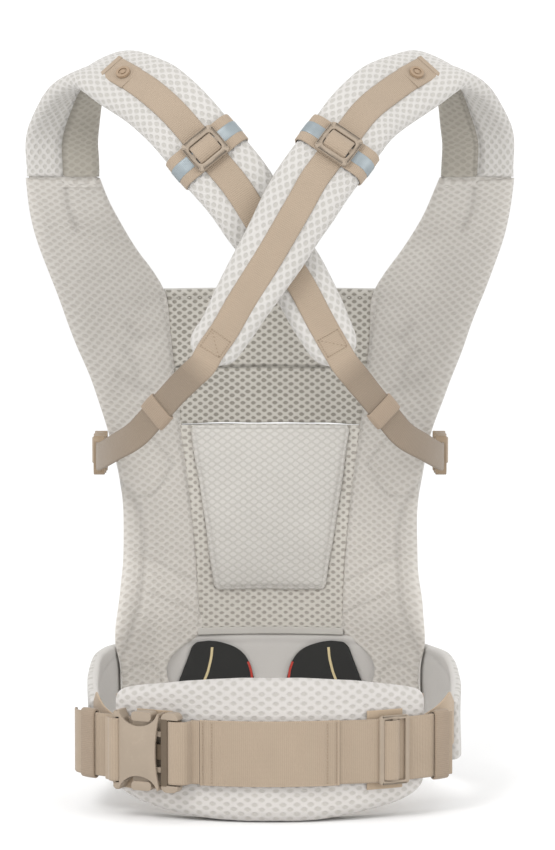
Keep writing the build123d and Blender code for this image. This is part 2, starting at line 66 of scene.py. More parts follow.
class Nodes:
    """A short way to write a material's node tree."""

    def __init__(self, name):
        self.material = bpy.data.materials.new(name)
        self.material.use_nodes = True
        self.tree = self.material.node_tree
        self.shader = self.tree.nodes["Principled BSDF"]

    def link(self, value, socket):
        if isinstance(value, bpy.types.NodeSocket):
            self.tree.links.new(value, socket)
        else:
            socket.default_value = value

    def math(self, kind, a, b=0.0, c=0.0):
        node = self.tree.nodes.new("ShaderNodeMath")
        node.operation = kind
        for value, socket in zip((a, b, c), node.inputs):
            self.link(value, socket)
        return node.outputs[0]

    def product(self, *terms):
        total = terms[0]
        for term in terms[1:]:
            total = self.math("MULTIPLY", total, term)
        return total

    def spread(self, value, size, low):
        """A value between 0 and 1, taken to between low and low + size."""
        return self.math("MULTIPLY_ADD", value, size, low)

    def scale(self, colour, share):
        node = self.tree.nodes.new("ShaderNodeVectorMath")
        node.operation = "SCALE"
        self.link(colour, node.inputs[0])
        self.link(share, node.inputs["Scale"])
        return node.outputs[0]

    def mix(self, share, a, b):
        node = self.tree.nodes.new("ShaderNodeMix")
        node.data_type = "RGBA"
        self.link(share, node.inputs[0])
        self.link(a, node.inputs[6])
        self.link(b, node.inputs[7])
        return node.outputs[2]

    def ramp(self, value, low, high, to_low=0.0, to_high=1.0):
        node = self.tree.nodes.new("ShaderNodeMapRange")
        node.interpolation_type = "SMOOTHSTEP"
        for item, socket in zip((value, low, high, to_low, to_high), node.inputs):
            self.link(item, socket)
        return node.outputs[0]

    def weave(self):
        """The cloth's own coordinates: the vector, across, along and the painted shade on it."""
        node = self.tree.nodes.new("ShaderNodeAttribute")
        node.attribute_name = "weave"
        split = self.tree.nodes.new("ShaderNodeSeparateXYZ")
        self.tree.links.new(node.outputs["Vector"], split.inputs[0])
        return node.outputs["Vector"], split.outputs[0], split.outputs[1], split.outputs[2]

    def place(self):
        node = self.tree.nodes.new("ShaderNodeTexCoord")
        return node.outputs["Object"]

    def noise(self, vector, scale, detail=2.0, rough=0.5):
        node = self.tree.nodes.new("ShaderNodeTexNoise")
        self.link(vector, node.inputs["Vector"])
        node.inputs["Scale"].default_value = scale
        node.inputs["Detail"].default_value = detail
        node.inputs["Roughness"].default_value = rough
        return node.outputs[0]

    def wave(self, value, period):
        """A cosine of the given period, from -1 to 1."""
        return self.math("COSINE", self.math("MULTIPLY", value, 2 * math.pi / period))

    def bump(self, height, strength, distance):
        node = self.tree.nodes.new("ShaderNodeBump")
        node.inputs["Strength"].default_value = strength
        node.inputs["Distance"].default_value = distance
        self.tree.links.new(height, node.inputs["Height"])
        self.tree.links.new(node.outputs[0], self.shader.inputs["Normal"])

    def finish(self, colour, roughness, sheen=0.0):
        self.link(colour, self.shader.inputs["Base Color"])
        self.link(roughness, self.shader.inputs["Roughness"])
        self.shader.inputs["Sheen Weight"].default_value = sheen
        self.shader.inputs["Specular IOR Level"].default_value = 0.3
        return self.material


def rgb(r, g, b):
    """A linear colour from its 0 to 255 display values."""
    return tuple([((v / 255 + 0.055) / 1.055) ** 2.4 for v in (r, g, b)] + [1.0])


def scaled(colour, share):
    return tuple([v * share for v in colour[:3]] + [1.0])


# ---------------------------------------------------------------- materials
# The knitted nets' cells, across and along: one hole at each corner and one in the middle.
FINE, COARSE, UPRIGHT = (9.1, 6.3), (10.4, 7.5), (6.6, 9.1)


def mesh_fabric(name, thread, hole, low, high, depth, hollow=1.0, cell=FINE):
    """Spacer mesh: a net of threads round staggered holes, which open between low and high."""
    n = Nodes(name)
    vector, u, v, painted_shading = n.weave()
    across = n.math("ADD", u, n.math("MULTIPLY", n.noise(n.place(), 90.0), 1.4))
    net = n.math("ADD", n.wave(across, cell[0]), n.wave(v, cell[1]))
    open_share = n.math("MULTIPLY", n.math("ABSOLUTE", net), 0.5)
    uneven = n.spread(n.noise(n.place(), 45.0, 3.0), 0.3, -0.15)
    mask = n.ramp(n.math("ADD", open_share, uneven), low, high)
    knit = n.noise(vector, 2.4)
    cloud = n.noise(n.place(), 9.0, 3.0)
    # the weave's third value is painted shade: above 0 darker, below 0 lighter
    shade = n.product(n.spread(cloud, 0.14, 0.93), n.spread(knit, 0.16, 0.92), n.math("SUBTRACT", 1.0, painted_shading))
    height = n.math("SUBTRACT", n.math("MULTIPLY", knit, 0.25), n.math("MULTIPLY", mask, hollow))
    n.bump(height, 0.9, depth * MM)
    return n.finish(n.scale(n.mix(mask, thread, hole), shade), 0.86, 0.25)


def cloth_fabric(name, colour, period=0.9, depth=0.12, lines=0.06, sheen=0.2):
    """Plain woven cloth with a fine thread and slow unevenness."""
    n = Nodes(name)
    vector, u, v, painted_shading = n.weave()
    threads = n.math("MULTIPLY", n.wave(u, period), n.wave(v, period))
    fine = n.noise(vector, 1.3, 3.0)
    cloud = n.noise(n.place(), 11.0, 4.0)
    # the weave's third value is painted shade: above 0 darker, below 0 lighter
    shade = n.product(n.spread(cloud, 0.12, 0.94), n.spread(fine, 2 * lines, 1 - lines),
                      n.spread(threads, lines, 1.0), n.math("SUBTRACT", 1.0, painted_shading))
    n.bump(n.math("ADD", threads, fine), 0.6, depth * MM)
    return n.finish(n.scale(colour[:3], shade), 0.8, sheen)


def web_fabric(name, colour, along=1.5, across=0.95, depth=0.22):
    """Woven webbing: ribs over its width, fine warp lines along it, and painted shade on its edges, seams and
    tail.
    """
    n = Nodes(name)
    vector, u, v, painted_web_shade = n.weave()
    fine = n.noise(vector, 1.1)
    cloud = n.noise(n.place(), 25.0, 3.0)
    ribs = n.math("MULTIPLY_ADD", n.wave(v, along), 0.55, n.math("MULTIPLY", n.wave(u, across), 0.45))
    shade = n.product(n.spread(ribs, 0.08, 1.0), n.spread(cloud, 0.16, 0.92), n.spread(fine, 0.14, 0.93),
                      n.math("SUBTRACT", 1.0, painted_web_shade))
    n.bump(ribs, 0.7, depth * MM)
    return n.finish(n.scale(colour[:3], shade), 0.68, 0.15)


def moulded(name, colour, roughness=0.42, grain=0.05):
    """Moulded plastic with a fine grain, faint flow marks and rubbed patches."""
    n = Nodes(name)
    place = n.place()
    flow = n.noise(place, 60.0, 3.0)
    rub = n.ramp(n.noise(place, 220.0, 4.0), 0.52, 0.75)
    rubbed = n.mix(n.math("MULTIPLY", rub, 0.25), colour, scaled(colour, 1.25))
    n.bump(n.noise(place, 2600.0), 0.5, grain * MM)
    return n.finish(n.scale(rubbed, n.spread(flow, 0.12, 0.94)), n.spread(flow, 0.14, roughness - 0.07))


def reflective_tape(name):
    """Silver tape with a diamond pattern of beads."""
    n = Nodes(name)
    vector, u, v, painted_shading = n.weave()
    beads = n.math("MULTIPLY", n.wave(n.math("ADD", u, v), 2.2), n.wave(n.math("SUBTRACT", u, v), 2.2))
    cloud = n.noise(n.place(), 55.0, 3.0)
    colour = n.mix(cloud, rgb(116, 126, 131), rgb(165, 173, 176))
    colour = n.mix(n.ramp(beads, 0.2, 0.9, 0.0, 0.25), colour, rgb(190, 196, 199))
    n.bump(beads, 0.4, 0.1 * MM)
    n.shader.inputs["Metallic"].default_value = 0.35
    return n.finish(colour, 0.38)


MAT = {
    "mesh": mesh_fabric("mesh_fabric", rgb(193, 190, 186), rgb(176, 173, 167), 0.25, 0.85, 0.55,
                        cell=UPRIGHT),
    "pad_mesh": mesh_fabric("pad_mesh", rgb(199, 195, 191), rgb(181, 177, 171), 0.3, 0.9, 0.45,
                            cell=COARSE),
    "panel_mesh": mesh_fabric("panel_mesh", rgb(191, 187, 181), rgb(176, 171, 164), 0.2, 0.85, 0.42),
    # open mesh of the neck and head support, with painted shade: holes painted dark as the shade seen through
    # the net, threads darker where the panel is pulled back into shadow
    "open_mesh_painted_shade": mesh_fabric("open_mesh_painted_shade", rgb(180, 176, 168), rgb(132, 128, 119), 0.3, 0.8, 0.55),
    "liner_mesh": mesh_fabric("liner_mesh", rgb(196, 192, 184), rgb(158, 153, 145), 0.35, 0.85, 0.5),
    "seat_mesh": mesh_fabric("seat_mesh", rgb(184, 181, 175), rgb(197, 194, 189), 0.1, 0.6, 0.35, -0.6),
    "lining_mesh": mesh_fabric("lining_mesh", rgb(158, 153, 143), rgb(147, 142, 132), 0.2, 0.8, 0.4),
    "smooth": cloth_fabric("smooth_fabric", rgb(194, 191, 187)),
    "outer": cloth_fabric("outer_cloth", rgb(198, 195, 190), 1.1),
    "hem": cloth_fabric("hem_cloth", rgb(188, 185, 179)),
    "web": web_fabric("webbing", rgb(163, 146, 127)),
    "dark_web": web_fabric("dark_webbing", rgb(151, 134, 116)),
    "tan": cloth_fabric("tan_backing", rgb(172, 153, 131), 1.0),
    "black": cloth_fabric("black_fabric", rgb(44, 44, 43), 1.2, 0.2, 0.1, 0.1),
    "beige": cloth_fabric("beige_tape", rgb(206, 190, 148), 1.2),
    "red": cloth_fabric("red_tape", rgb(182, 62, 52), 1.2),
    "cream_thread": cloth_fabric("cream_thread", rgb(190, 186, 179), 0.5),
    "grey_thread": cloth_fabric("grey_thread", rgb(140, 136, 128), 0.5),
    "tan_thread": cloth_fabric("tan_thread", rgb(150, 130, 108), 0.5),
    "plastic": moulded("buckle_plastic", rgb(155, 141, 125)),
    # painted shade: the waist plug's plastic where the socket shades it
    "painted_shade_plastic": moulded("shaded_plastic", rgb(96, 83, 68)),
    "dark_plastic": moulded("side_buckle_plastic", rgb(145, 127, 106)),
    "snap": moulded("snap_plastic", rgb(153, 132, 110), 0.34),
    "reflective": reflective_tape("reflective_tape"),
}

# ---------------------------------------------------------------- mesh helpers


def unit(v):
    """Vectors made one long."""
    return v / np.maximum(np.linalg.norm(v, axis=-1, keepdims=True), 1e-12)


def vec(points):
    return np.array(points, float)


def add_mesh(name, points, faces, mats, face_mats=None, weave=None, param=None):
    """A new smooth-shaded object from points in millimetres."""
    mesh = bpy.data.meshes.new(name)
    mesh.from_pydata((np.asarray(points) * MM).tolist(), [], [list(map(int, f)) for f in faces])
    for key, values in (("weave", weave), ("param", param)):
        if values is not None:
            layer = mesh.attributes.new(key, "FLOAT_VECTOR", "POINT")
            layer.data.foreach_set("vector", np.asarray(values, np.float32).ravel())
    for mat in mats:
        mesh.materials.append(MAT[mat])
    if face_mats is not None:
        mesh.polygons.foreach_set("material_index", np.asarray(face_mats, np.int32))
    mesh.polygons.foreach_set("use_smooth", [True] * len(mesh.polygons))
    mesh.update()
    obj = bpy.data.objects.new(name, mesh)
    scene.collection.objects.link(obj)
    return obj


def attach(obj, body, nodes=()):
    """Ride a body and hide the CAD nodes it stands for."""
    if body is not None:
        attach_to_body(obj, body)
    if nodes:
        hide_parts(*nodes)
    return obj


def spaced(length, step, first, last):
    """Places from 0 to length, closer together where the two ends are rounded."""
    turn = np.linspace(0, math.pi / 2, 5)[:-1]
    start = first * (1 - np.cos(turn)) if first else np.zeros(0)
    end = length - last * (1 - np.cos(turn)) if last else np.array([length])
    count = max(2, int(round((length - first - last) / step)) + 1)
    middle = np.linspace(first, length - last, count)
    return np.concatenate([start, middle if last else middle[:-1], end[::-1]])


def rounded(at, length, first, last):
    """Share of full thickness at each place, rounded off towards the ends."""
    share = np.ones_like(at)
    for rim, gap in ((first, at), (last, length - at)):
        if rim:
            share = share * np.sqrt(np.clip(1 - (1 - np.clip(gap / rim, 0, 1)) ** 2, 0, 1))
    return share


def normals_of(grid, towards):
    """A grid's normals, turned so that its middle one points the given way."""
    cross = unit(np.cross(np.gradient(grid, axis=0), np.gradient(grid, axis=1)))
    middle = cross[cross.shape[0] // 2, cross.shape[1] // 2]
    return cross if middle @ vec(towards) > 0 else -cross


def pad(name, place, width, height, thick, rims, step, mats, towards=(0, -1, 0)):
    """A closed pad over a surface: place(s, t) gives its middle and its weave.

    thick is the height of its front and of its back over that middle, each a number
    or a function of s and t. rims are the rounded widths: left, right, bottom, top.
    """
    a = spaced(width, step, rims[0], rims[1])
    b = spaced(height, step, rims[2], rims[3])
    s, t = np.meshgrid(a / width, b / height, indexing="ij")
    middle, weave, param = place(s, t)
    normal = normals_of(middle, towards)
    share = np.outer(rounded(a, width, rims[0], rims[1]), rounded(b, height, rims[2], rims[3]))
    front, back = [h(s, t) if callable(h) else np.full_like(s, h) for h in thick]
    front, back = middle + normal * (front * share)[..., None], middle - normal * (back * share)[..., None]
    n, m = s.shape
    ids = np.arange(n * m).reshape(n, m)
    inner = np.zeros((n, m), bool)
    inner[1:-1, 1:-1] = True
    back_ids = ids.copy()
    back_ids[inner] = n * m + np.arange(inner.sum())
    points = np.concatenate([front.reshape(-1, 3), back[inner]])

    def both(values, third):
        """Values on the front, then on the back, whose rim is the front's, with a third one."""
        pair = np.concatenate([values.reshape(n * m, 2), values[inner]])
        return np.concatenate([pair, third[:, None]], -1)

    is_back = np.repeat([0.0, 1.0], (n * m, inner.sum()))
    quads, kinds = [], []
    flip = np.cross(middle[1, 0] - middle[0, 0], middle[0, 1] - middle[0, 0]) @ normal[0, 0] < 0
    for grid, way, kind in ((ids, flip, 0), (back_ids, not flip, len(mats) - 1)):
        q = np.stack([grid[:-1, :-1], grid[1:, :-1], grid[1:, 1:], grid[:-1, 1:]], -1).reshape(-1, 4)
        quads.append(q[:, ::-1] if way else q)
        kinds.append(np.full(len(q), kind))
    return add_mesh(name, points, np.concatenate(quads), mats, np.concatenate(kinds),
                    both(weave, 0 * is_back), both(param, is_back))


def baked(obj, levels=1):
    """Subdivide a mesh and keep the result."""
    modifier = obj.modifiers.new("smooth", "SUBSURF")
    modifier.levels = modifier.render_levels = levels
    graph = bpy.context.evaluated_depsgraph_get()
    mesh = bpy.data.meshes.new_from_object(obj.evaluated_get(graph))
    obj.modifiers.clear()
    old, obj.data = obj.data, mesh
    mesh.name = obj.name
    bpy.data.meshes.remove(old)
    return obj


def read(obj, what="co"):
    """A mesh's points, normals or values at its points, one row each."""
    values = np.zeros(len(obj.data.vertices) * 3, np.float32)
    if what == "co":
        obj.data.vertices.foreach_get("co", values)
    elif what == "normal":
        obj.data.vertices.foreach_get("normal", values)
    else:
        obj.data.attributes[what].data.foreach_get("vector", values)
    return values.reshape(-1, 3).astype(float)


def write(obj, points):
    obj.data.vertices.foreach_set("co", np.asarray(points, np.float32).ravel())
    obj.data.update()


def set_weave(obj, weave):
    obj.data.attributes["weave"].data.foreach_set("vector", weave.astype(np.float32).ravel())


def add_painted_shade(obj, amount):
    """Paint shade into a fabric's colour, point by point: above 0 is darker, below 0 lighter."""
    weave = read(obj, "weave")
    weave[:, 2] += amount
    set_weave(obj, weave)


CLOTH_FRAMES = 20


def inflate(obj, pressure, cap, pinned):
    """Blow a pad up a little as cloth, with its pinned points held and its motion capped."""
    rest = read(obj)
    group = obj.vertex_groups.new(name="held")
    group.add([int(i) for i in np.where(pinned)[0]], 1.0, "REPLACE")
    modifier = obj.modifiers.new("Cloth", "CLOTH")
    cloth = modifier.settings
    cloth.quality = 4
    cloth.mass = 0.3
    cloth.use_pressure = True
    cloth.uniform_pressure_force = pressure
    cloth.effector_weights.gravity = 0
    cloth.vertex_group_mass = "held"
    cloth.tension_stiffness = cloth.compression_stiffness = 12
    cloth.shear_stiffness = 6
    cloth.bending_stiffness = 1.5
    modifier.collision_settings.use_collision = False
    modifier.point_cache.frame_start, modifier.point_cache.frame_end = 1, CLOTH_FRAMES
    for step in range(1, CLOTH_FRAMES + 1):
        scene.frame_set(step)
    graph = bpy.context.evaluated_depsgraph_get()
    result = obj.evaluated_get(graph)
    values = np.zeros(len(rest) * 3, np.float32)
    result.data.vertices.foreach_get("co", values)
    moved = values.reshape(-1, 3) - rest
    size = np.linalg.norm(moved, axis=1, keepdims=True)
    moved *= np.minimum(1, cap * MM / np.maximum(size, 1e-9))
    obj.modifiers.clear()
    obj.vertex_groups.clear()
    write(obj, rest + moved)
    scene.frame_set(1)


def line_gap(points, line):
    """Distance of each point from a line of corners, in two dimensions."""
    best = np.full(len(points), 1e9)
    line = vec(line)
    for a, b in zip(line[:-1], line[1:]):
        d = b - a
        t = np.clip(((points - a) @ d) / max(d @ d, 1e-9), 0, 1)
        best = np.minimum(best, np.linalg.norm(points - a - t[:, None] * d, axis=1))
    return best


def groove(obj, lines, depth, width, side=0, painted_shading=0.10):
    """Press seams into a pad's front, 0, or back, 1, and paint a little shade into them."""
    param, co, normal, weave = read(obj, "param"), read(obj), read(obj, "normal"), read(obj, "weave")
    near = np.full(len(co), 1e9)
    for line in lines:
        near = np.minimum(near, line_gap(param[:, :2], line))
    fall = np.exp(-((near / width) ** 2)) * (np.abs(param[:, 2] - side) < 0.5)
    write(obj, co - normal * (fall * depth * MM)[:, None])
    # painted shade in the seam's crease
    weave[:, 2] = np.maximum(weave[:, 2], fall * painted_shading)
    set_weave(obj, weave)


def ripple(obj, height, scale, shift=0.0):
    """Slow unevenness, so that no fabric is perfectly flat."""
    co, normal = read(obj), read(obj, "normal")
    lift = [noise.noise(Vector(p) * scale + Vector((shift, 0, 0))) for p in co]
    write(obj, co + normal * (np.array(lift) * height * MM)[:, None])


class Surface:
    """Finds places on a finished pad from its two parameters."""

    def __init__(self, obj, side=0):
        param, self.co, self.normal = read(obj, "param"), read(obj) / MM, read(obj, "normal")
        keep = np.where(np.abs(param[:, 2] - side) < 0.5)[0]
        self.tree = kdtree.KDTree(len(keep))
        for i in keep:
            self.tree.insert((param[i, 0], param[i, 1], 0), int(i))
        self.tree.balance()

    def at(self, points):
        spots, normals = [], []
        for x, z in points:
            found = self.tree.find_n((x, z, 0), 4)
            weight = np.array([1 / (d + 0.05) ** 2 for _, _, d in found])
            ids = [i for _, i, _ in found]
            spots.append((self.co[ids] * weight[:, None]).sum(0) / weight.sum())
            normals.append((self.normal[ids] * weight[:, None]).sum(0))
        return vec(spots), unit(vec(normals))


def walk(line, step):
    """Points every step along a line of corners, in any number of dimensions."""
    line = vec(line)
    gaps = np.linalg.norm(np.diff(line, axis=0), axis=1)
    along = np.concatenate([[0], np.cumsum(gaps)])
    at = np.arange(step / 2, along[-1], step)
    return np.stack([np.interp(at, along, line[:, k]) for k in range(line.shape[1])], -1)


STITCH_RING = 6


def stitches(name, runs, body, mat="cream_thread", pitch=3.0, length=2.1, radius=0.28, lift=0.1):
    """Small thread stitches along runs of (points, normals) in millimetres."""
    points, faces, weave = [], [], []
    ring = [(math.cos(k * 2 * math.pi / STITCH_RING), math.sin(k * 2 * math.pi / STITCH_RING))
            for k in range(STITCH_RING)]
    profile = [(-0.5, 0.35), (-0.25, 1.0), (0.25, 1.0), (0.5, 0.35)]
    for spots, normals in runs:
        for i in range(len(spots)):
            along = unit(spots[min(i + 1, len(spots) - 1)] - spots[max(i - 1, 0)])
            up = unit(normals[i] - along * (normals[i] @ along))
            across = np.cross(along, up)
            base = len(points)
            for share, size in profile:
                centre = spots[i] + along * share * length + up * (lift - (0.3 if size < 1 else 0))
                for c, s in ring:
                    points.append(centre + across * c * radius * size * 1.3 + up * s * radius * size)
                    weave.append((c, share * length + i * pitch, 0))
            for row in range(3):
                for k in range(STITCH_RING):
                    a, b = base + row * STITCH_RING + k, base + row * STITCH_RING + (k + 1) % STITCH_RING
                    faces.append((a, b, b + STITCH_RING, a + STITCH_RING))
            faces.append([base + k for k in range(STITCH_RING)][::-1])
            faces.append([base + 3 * STITCH_RING + k for k in range(STITCH_RING)])
    attach(add_mesh(name, points, faces, [mat], None, weave), body)


def seam(surface, lines, pitch=3.0):
    """Stitch runs on a pad's surface."""
    return [surface.at(walk(line, pitch)) for line in lines]


# ---------------------------------------------------------------- sweeps


class Path:
    """A smooth line through stations, by the distance along their chords or by given knots."""

    def __init__(self, points, *extras, knots=None):
        self.values = np.concatenate([vec(points)] + [vec(e).reshape(len(points), -1) for e in extras], 1)
        if knots is None:
            chords = np.linalg.norm(np.diff(vec(points), axis=0), axis=1)
            knots = np.concatenate([[0], np.cumsum(chords)])
        self.knots = knots
        gaps = np.diff(knots)[:, None]
        slopes = np.diff(self.values, axis=0) / gaps
        inner = (slopes[:-1] * gaps[1:] + slopes[1:] * gaps[:-1]) / (gaps[:-1] + gaps[1:])
        self.tangents = np.concatenate([slopes[:1], inner, slopes[-1:]])
        self.length = self.knots[-1]

    def at(self, s):
        """Values at the distances, and their slopes."""
        s = np.clip(np.asarray(s, float), self.knots[0], self.length)
        i = np.clip(np.searchsorted(self.knots, s, side="right") - 1, 0, len(self.knots) - 2)
        h = (self.knots[i + 1] - self.knots[i])[:, None]
        t = ((s - self.knots[i]) / h[:, 0])[:, None]
        p, q, a, b = self.values[i], self.values[i + 1], self.tangents[i] * h, self.tangents[i + 1] * h
        value = ((2 * t**3 - 3 * t**2 + 1) * p + (t**3 - 2 * t**2 + t) * a
                 + (3 * t**2 - 2 * t**3) * q + (t**3 - t**2) * b)
        slope = ((6 * t**2 - 6 * t) * p + (3 * t**2 - 4 * t + 1) * a
                 + (6 * t - 6 * t**2) * q + (3 * t**2 - 2 * t) * b) / h
        return value, slope


def frames(path, s):
    """Places on a path, and the directions across, along and out of it there."""
    value, slope = path.at(s)
    along = unit(slope[:, :3])
    across = unit(np.cross(value[:, 3:6], along))
    return value[:, :3], across, along, np.cross(along, across)


def stadium(width, thick, flat, turn):
    """Half of a section with round edges, from the top middle to the bottom middle."""
    r = min(thick, width) / 2
    a = max(width / 2 - r, 0.01)
    half = [(a * i / flat, r) for i in range(flat + 1)]
    half += [(a + r * math.sin(w), r * math.cos(w)) for w in np.linspace(0, math.pi, turn + 1)[1:]]
    half += [(a * (1 - i / flat), -r) for i in range(1, flat + 1)]
    return vec(half)


def ring_of(half):
    """A whole section from its half, and how far round it each point is from the top."""
    run = np.concatenate([[0], np.cumsum(np.linalg.norm(np.diff(half, axis=0), axis=1))])
    return np.concatenate([half, (half * [-1, 1])[-2:0:-1]]), np.concatenate([run, run[-2:0:-1]])


def sweep(name, path, s, sections, mats, shape=(8, 4), painted_edge_shade=0.0, twin=None, lined=None):
    """A closed band along a path whose extra values are its outward normals.

    sections gives the width, the thickness and the height of the middle at each place,
    twin reshapes each half section, and lined is the side, 1 or -1, whose half of the
    underside has the second material.
    """
    spot, across, along, up = frames(path, s)
    flat, turn = shape
    rows, weave, param = [], [], []
    for k in range(len(s)):
        width, thick, middle = sections(s[k])
        half = stadium(width, thick, flat, turn)
        if twin is not None:
            half = twin(s[k], half, thick)
        loop, measure = ring_of(half)
        sign = np.concatenate([np.ones(len(half)), -np.ones(len(half) - 2)])
        rows.append(spot[k] + loop[:, :1] * across[k] + (loop[:, 1:] + middle) * up[k])
        # painted shade on the band's rounded edges
        painted_shading = painted_edge_shade * np.clip((np.abs(loop[:, 0]) - width / 2 + 1.6) / 1.6, 0, 1)
        weave.append(np.stack([measure, np.full(len(loop), s[k]), painted_shading], -1))
        param.append(np.stack([measure * sign, np.full(len(loop), s[k]), np.zeros(len(loop))], -1))
    n, m = len(rows), len(rows[0])
    ids = np.arange(n * m).reshape(n, m)
    nxt = np.roll(ids, -1, axis=1)
    quads = np.stack([ids[:-1], nxt[:-1], nxt[1:], ids[1:]], -1).reshape(-1, 4)
    faces = [tuple(q) for q in quads[:, ::-1]] + [tuple(ids[0]), tuple(ids[-1][::-1])]
    under = np.zeros(m, int)
    if lined is not None:
        half_way = 2 * flat + turn
        reach = flat + turn // 2 + 1
        under[half_way - reach:half_way] = lined > 0
        under[half_way:half_way + reach] = lined < 0
    kinds = np.concatenate([np.tile(under, n - 1), [0, 0]])
    obj = add_mesh(name, np.concatenate(rows), faces, mats, kinds, np.concatenate(weave), np.concatenate(param))
    face_out(obj)
    return obj


def face_out(obj):
    """Turn a closed mesh's faces outwards."""
    co = read(obj)
    total = 0.0
    for p in obj.data.polygons:
        v = co[list(p.vertices)]
        for i in range(1, len(v) - 1):
            total += v[0] @ np.cross(v[i], v[i + 1])
    if total < 0:
        obj.data.flip_normals()


# ---------------------------------------------------------------- the carrier's own curves
BACK_Y, BACK_R = -109.8, 240.0
FRONT_Y, FRONT_R = 83.0, 213.0
WAIST_Z = 55.5
BELT_TOP, LINER_TOP, FOLD_Z, HEAD_TOP, SHOULDER_Z = 112.5, 288.0, 336.0, 401.0, 495.0


def wall(x, z, r):
    """A point on the body panel's curve at radius offset r."""
    turn = np.arcsin(np.clip(np.asarray(x) / BACK_R, -1, 1))
    return np.stack([(BACK_R + r) * np.sin(turn), BACK_Y + (BACK_R + r) * np.cos(turn), z + 0 * turn], -1)


def lumbar(x, z, r):
    """A point on the lumbar pad's curve at radius offset r."""
    turn = np.arcsin(np.clip(np.asarray(x) / (FRONT_R + r), -1, 1))
    return np.stack([(FRONT_R + r) * np.sin(turn), FRONT_Y - (FRONT_R + r) * np.cos(turn), z + 0 * turn], -1)


def rows_on_wall(z0, z1, half, r):
    """place() for a panel between two heights, with a half width at each height."""
    def place(s, t):
        z = z0 + (z1 - z0) * t
        wide = np.interp(z, *zip(*half))
        x = (2 * s - 1) * wide
        weave = np.stack([BACK_R * np.arcsin(x / BACK_R), z], -1)
        return wall(x, z, r), weave, np.stack([x, z], -1)
    return place


# ---------------------------------------------------------------- the middle of the body panel
SEAM_HALF = [(112.5, 61), (176, 63), (232, 68.5), (288, 76)]  # tucked into the side panels
NECK_HALF = [(288, 76), (336, 81.5)]
HEAD_HALF = [(336, 80.5), (362, 84), (401, 88.5)]

liner = pad("seat_liner", rows_on_wall(113, LINER_TOP, SEAM_HALF, -2.5), 124, 175, (1.5, 1.5),
            (2, 2, 1, 1), 5, ["liner_mesh", "smooth"])
attach(baked(liner), "carrier", ["mesh_seat_liner"])

SEAT_LOW, SEAT_HIGH = 149, 287.6
SEAT_HALF = [(149, 45), (152.5, 48), (284, 67.5), (288, 65)]
seat = pad("seat_pad", rows_on_wall(SEAT_LOW, SEAT_HIGH, SEAT_HALF, -5.2), 110, SEAT_HIGH - SEAT_LOW,
           (lambda s, t: 3.2 + 1.2 * np.sin(math.pi * s) * np.sin(math.pi * t), 0.8), (5, 5, 4, 4), 4.5,
           ["seat_mesh", "smooth"])
x, z, is_back = read(seat, "param").T
at_rim = (np.abs(z - SEAT_LOW) < 0.1) | (np.abs(z - SEAT_HIGH) < 0.1)
at_rim |= np.abs(np.abs(x) - np.interp(z, *zip(*SEAT_HALF))) < 0.1
inflate(seat, 3.0, 4.0, at_rim | (is_back > 0.5))
baked(seat)
SEAT_EDGE = [(-44, 151.5), (-65, 285.5), (65, 285.5), (44, 151.5), (-44, 151.5)]
groove(seat, [SEAT_EDGE], 0.8, 1.2, painted_shading=0.05)
ripple(seat, 1.1, 32)
attach(seat, "carrier", ["padded_seat_panel"])
stitches("seat_pad_stitches", seam(Surface(seat), [SEAT_EDGE], 2.8), "carrier", "cream_thread",
         2.8, 1.9, 0.22)

back = pad("outer_panel_cover", rows_on_wall(113, LINER_TOP, SEAM_HALF, 2.0), 124, 175, (2.4, 3.0),
           (3, 3, 1.5, 1.5), 5, ["smooth", "outer"])
baked(back)
BACK_SEAMS = [[(-30, 114), (-40, 287)], [(30, 114), (40, 287)], [(-64, 236), (64, 236)]]
groove(back, BACK_SEAMS, 1.3, 2.2, side=1)
ripple(back, 0.8, 26, 3.0)
attach(back, "carrier", ["outer_panel"])
stitches("outer_panel_stitches", seam(Surface(back, 1), BACK_SEAMS), "carrier")

neck = pad("neck_panel_mesh", rows_on_wall(LINER_TOP + 0.5, FOLD_Z - 0.5, NECK_HALF, 0), 158, 47,
           (4.2, 4.4), (3, 3, 1.5, 2.5), 4.5, ["open_mesh_painted_shade", "outer"])
baked(neck)
ripple(neck, 1.6, 34, 7.0)
attach(neck, "carrier", ["neck_panel"])

head = pad("head_support_mesh", rows_on_wall(FOLD_Z + 0.5, HEAD_TOP, HEAD_HALF, 0), 166, 64.5,
           (4.6, 4.8), (3, 3, 2.5, 3), 4.5, ["open_mesh_painted_shade", "outer"])
baked(head)
HEAD_HEM = [(-82, 394), (82, 394)]
groove(head, [HEAD_HEM], 1.0, 1.5)
ripple(head, 1.3, 30, 11.0)
attach(head, "head_support", ["head_support"])
stitches("head_hem_stitches", seam(Surface(head), [HEAD_HEM]) + seam(Surface(head, 1), [HEAD_HEM]),
         "head_support")


def wall_path(half, z, r, count):
    """A level path along the body panel's curve, with normals towards the wearer."""
    x = np.linspace(-half, half, count)
    turn = np.arcsin(x / BACK_R)
    return Path(wall(x, z, r), -np.stack([np.sin(turn), np.cos(turn), 0 * turn], -1))


binding = wall_path(88, HEAD_TOP - 1.5, 0, 30)
band = sweep("head_binding", binding, spaced(binding.length, 5, 2, 2), lambda s: (4.5, 11.2, 0), ["hem"],
             (2, 5))
attach(band, "head_support")

fold = pad("fold_seam", rows_on_wall(FOLD_Z - 5, FOLD_Z + 5, [(331, 78), (341, 79)], 1.0), 156, 10, (1.6, 1.6),
           (2, 2, 1.5, 1.5), 2.5, ["open_mesh_painted_shade", "outer"])
baked(fold)
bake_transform(fold)
attach(fold, None)

hem = wall_path(62, BELT_TOP + 1.8, -4.6, 26)
band = sweep("seat_hem", hem, spaced(hem.length, 5, 1, 1), lambda s: (6, 1.4, 0), ["hem"], (5, 3))
attach(band, "carrier")

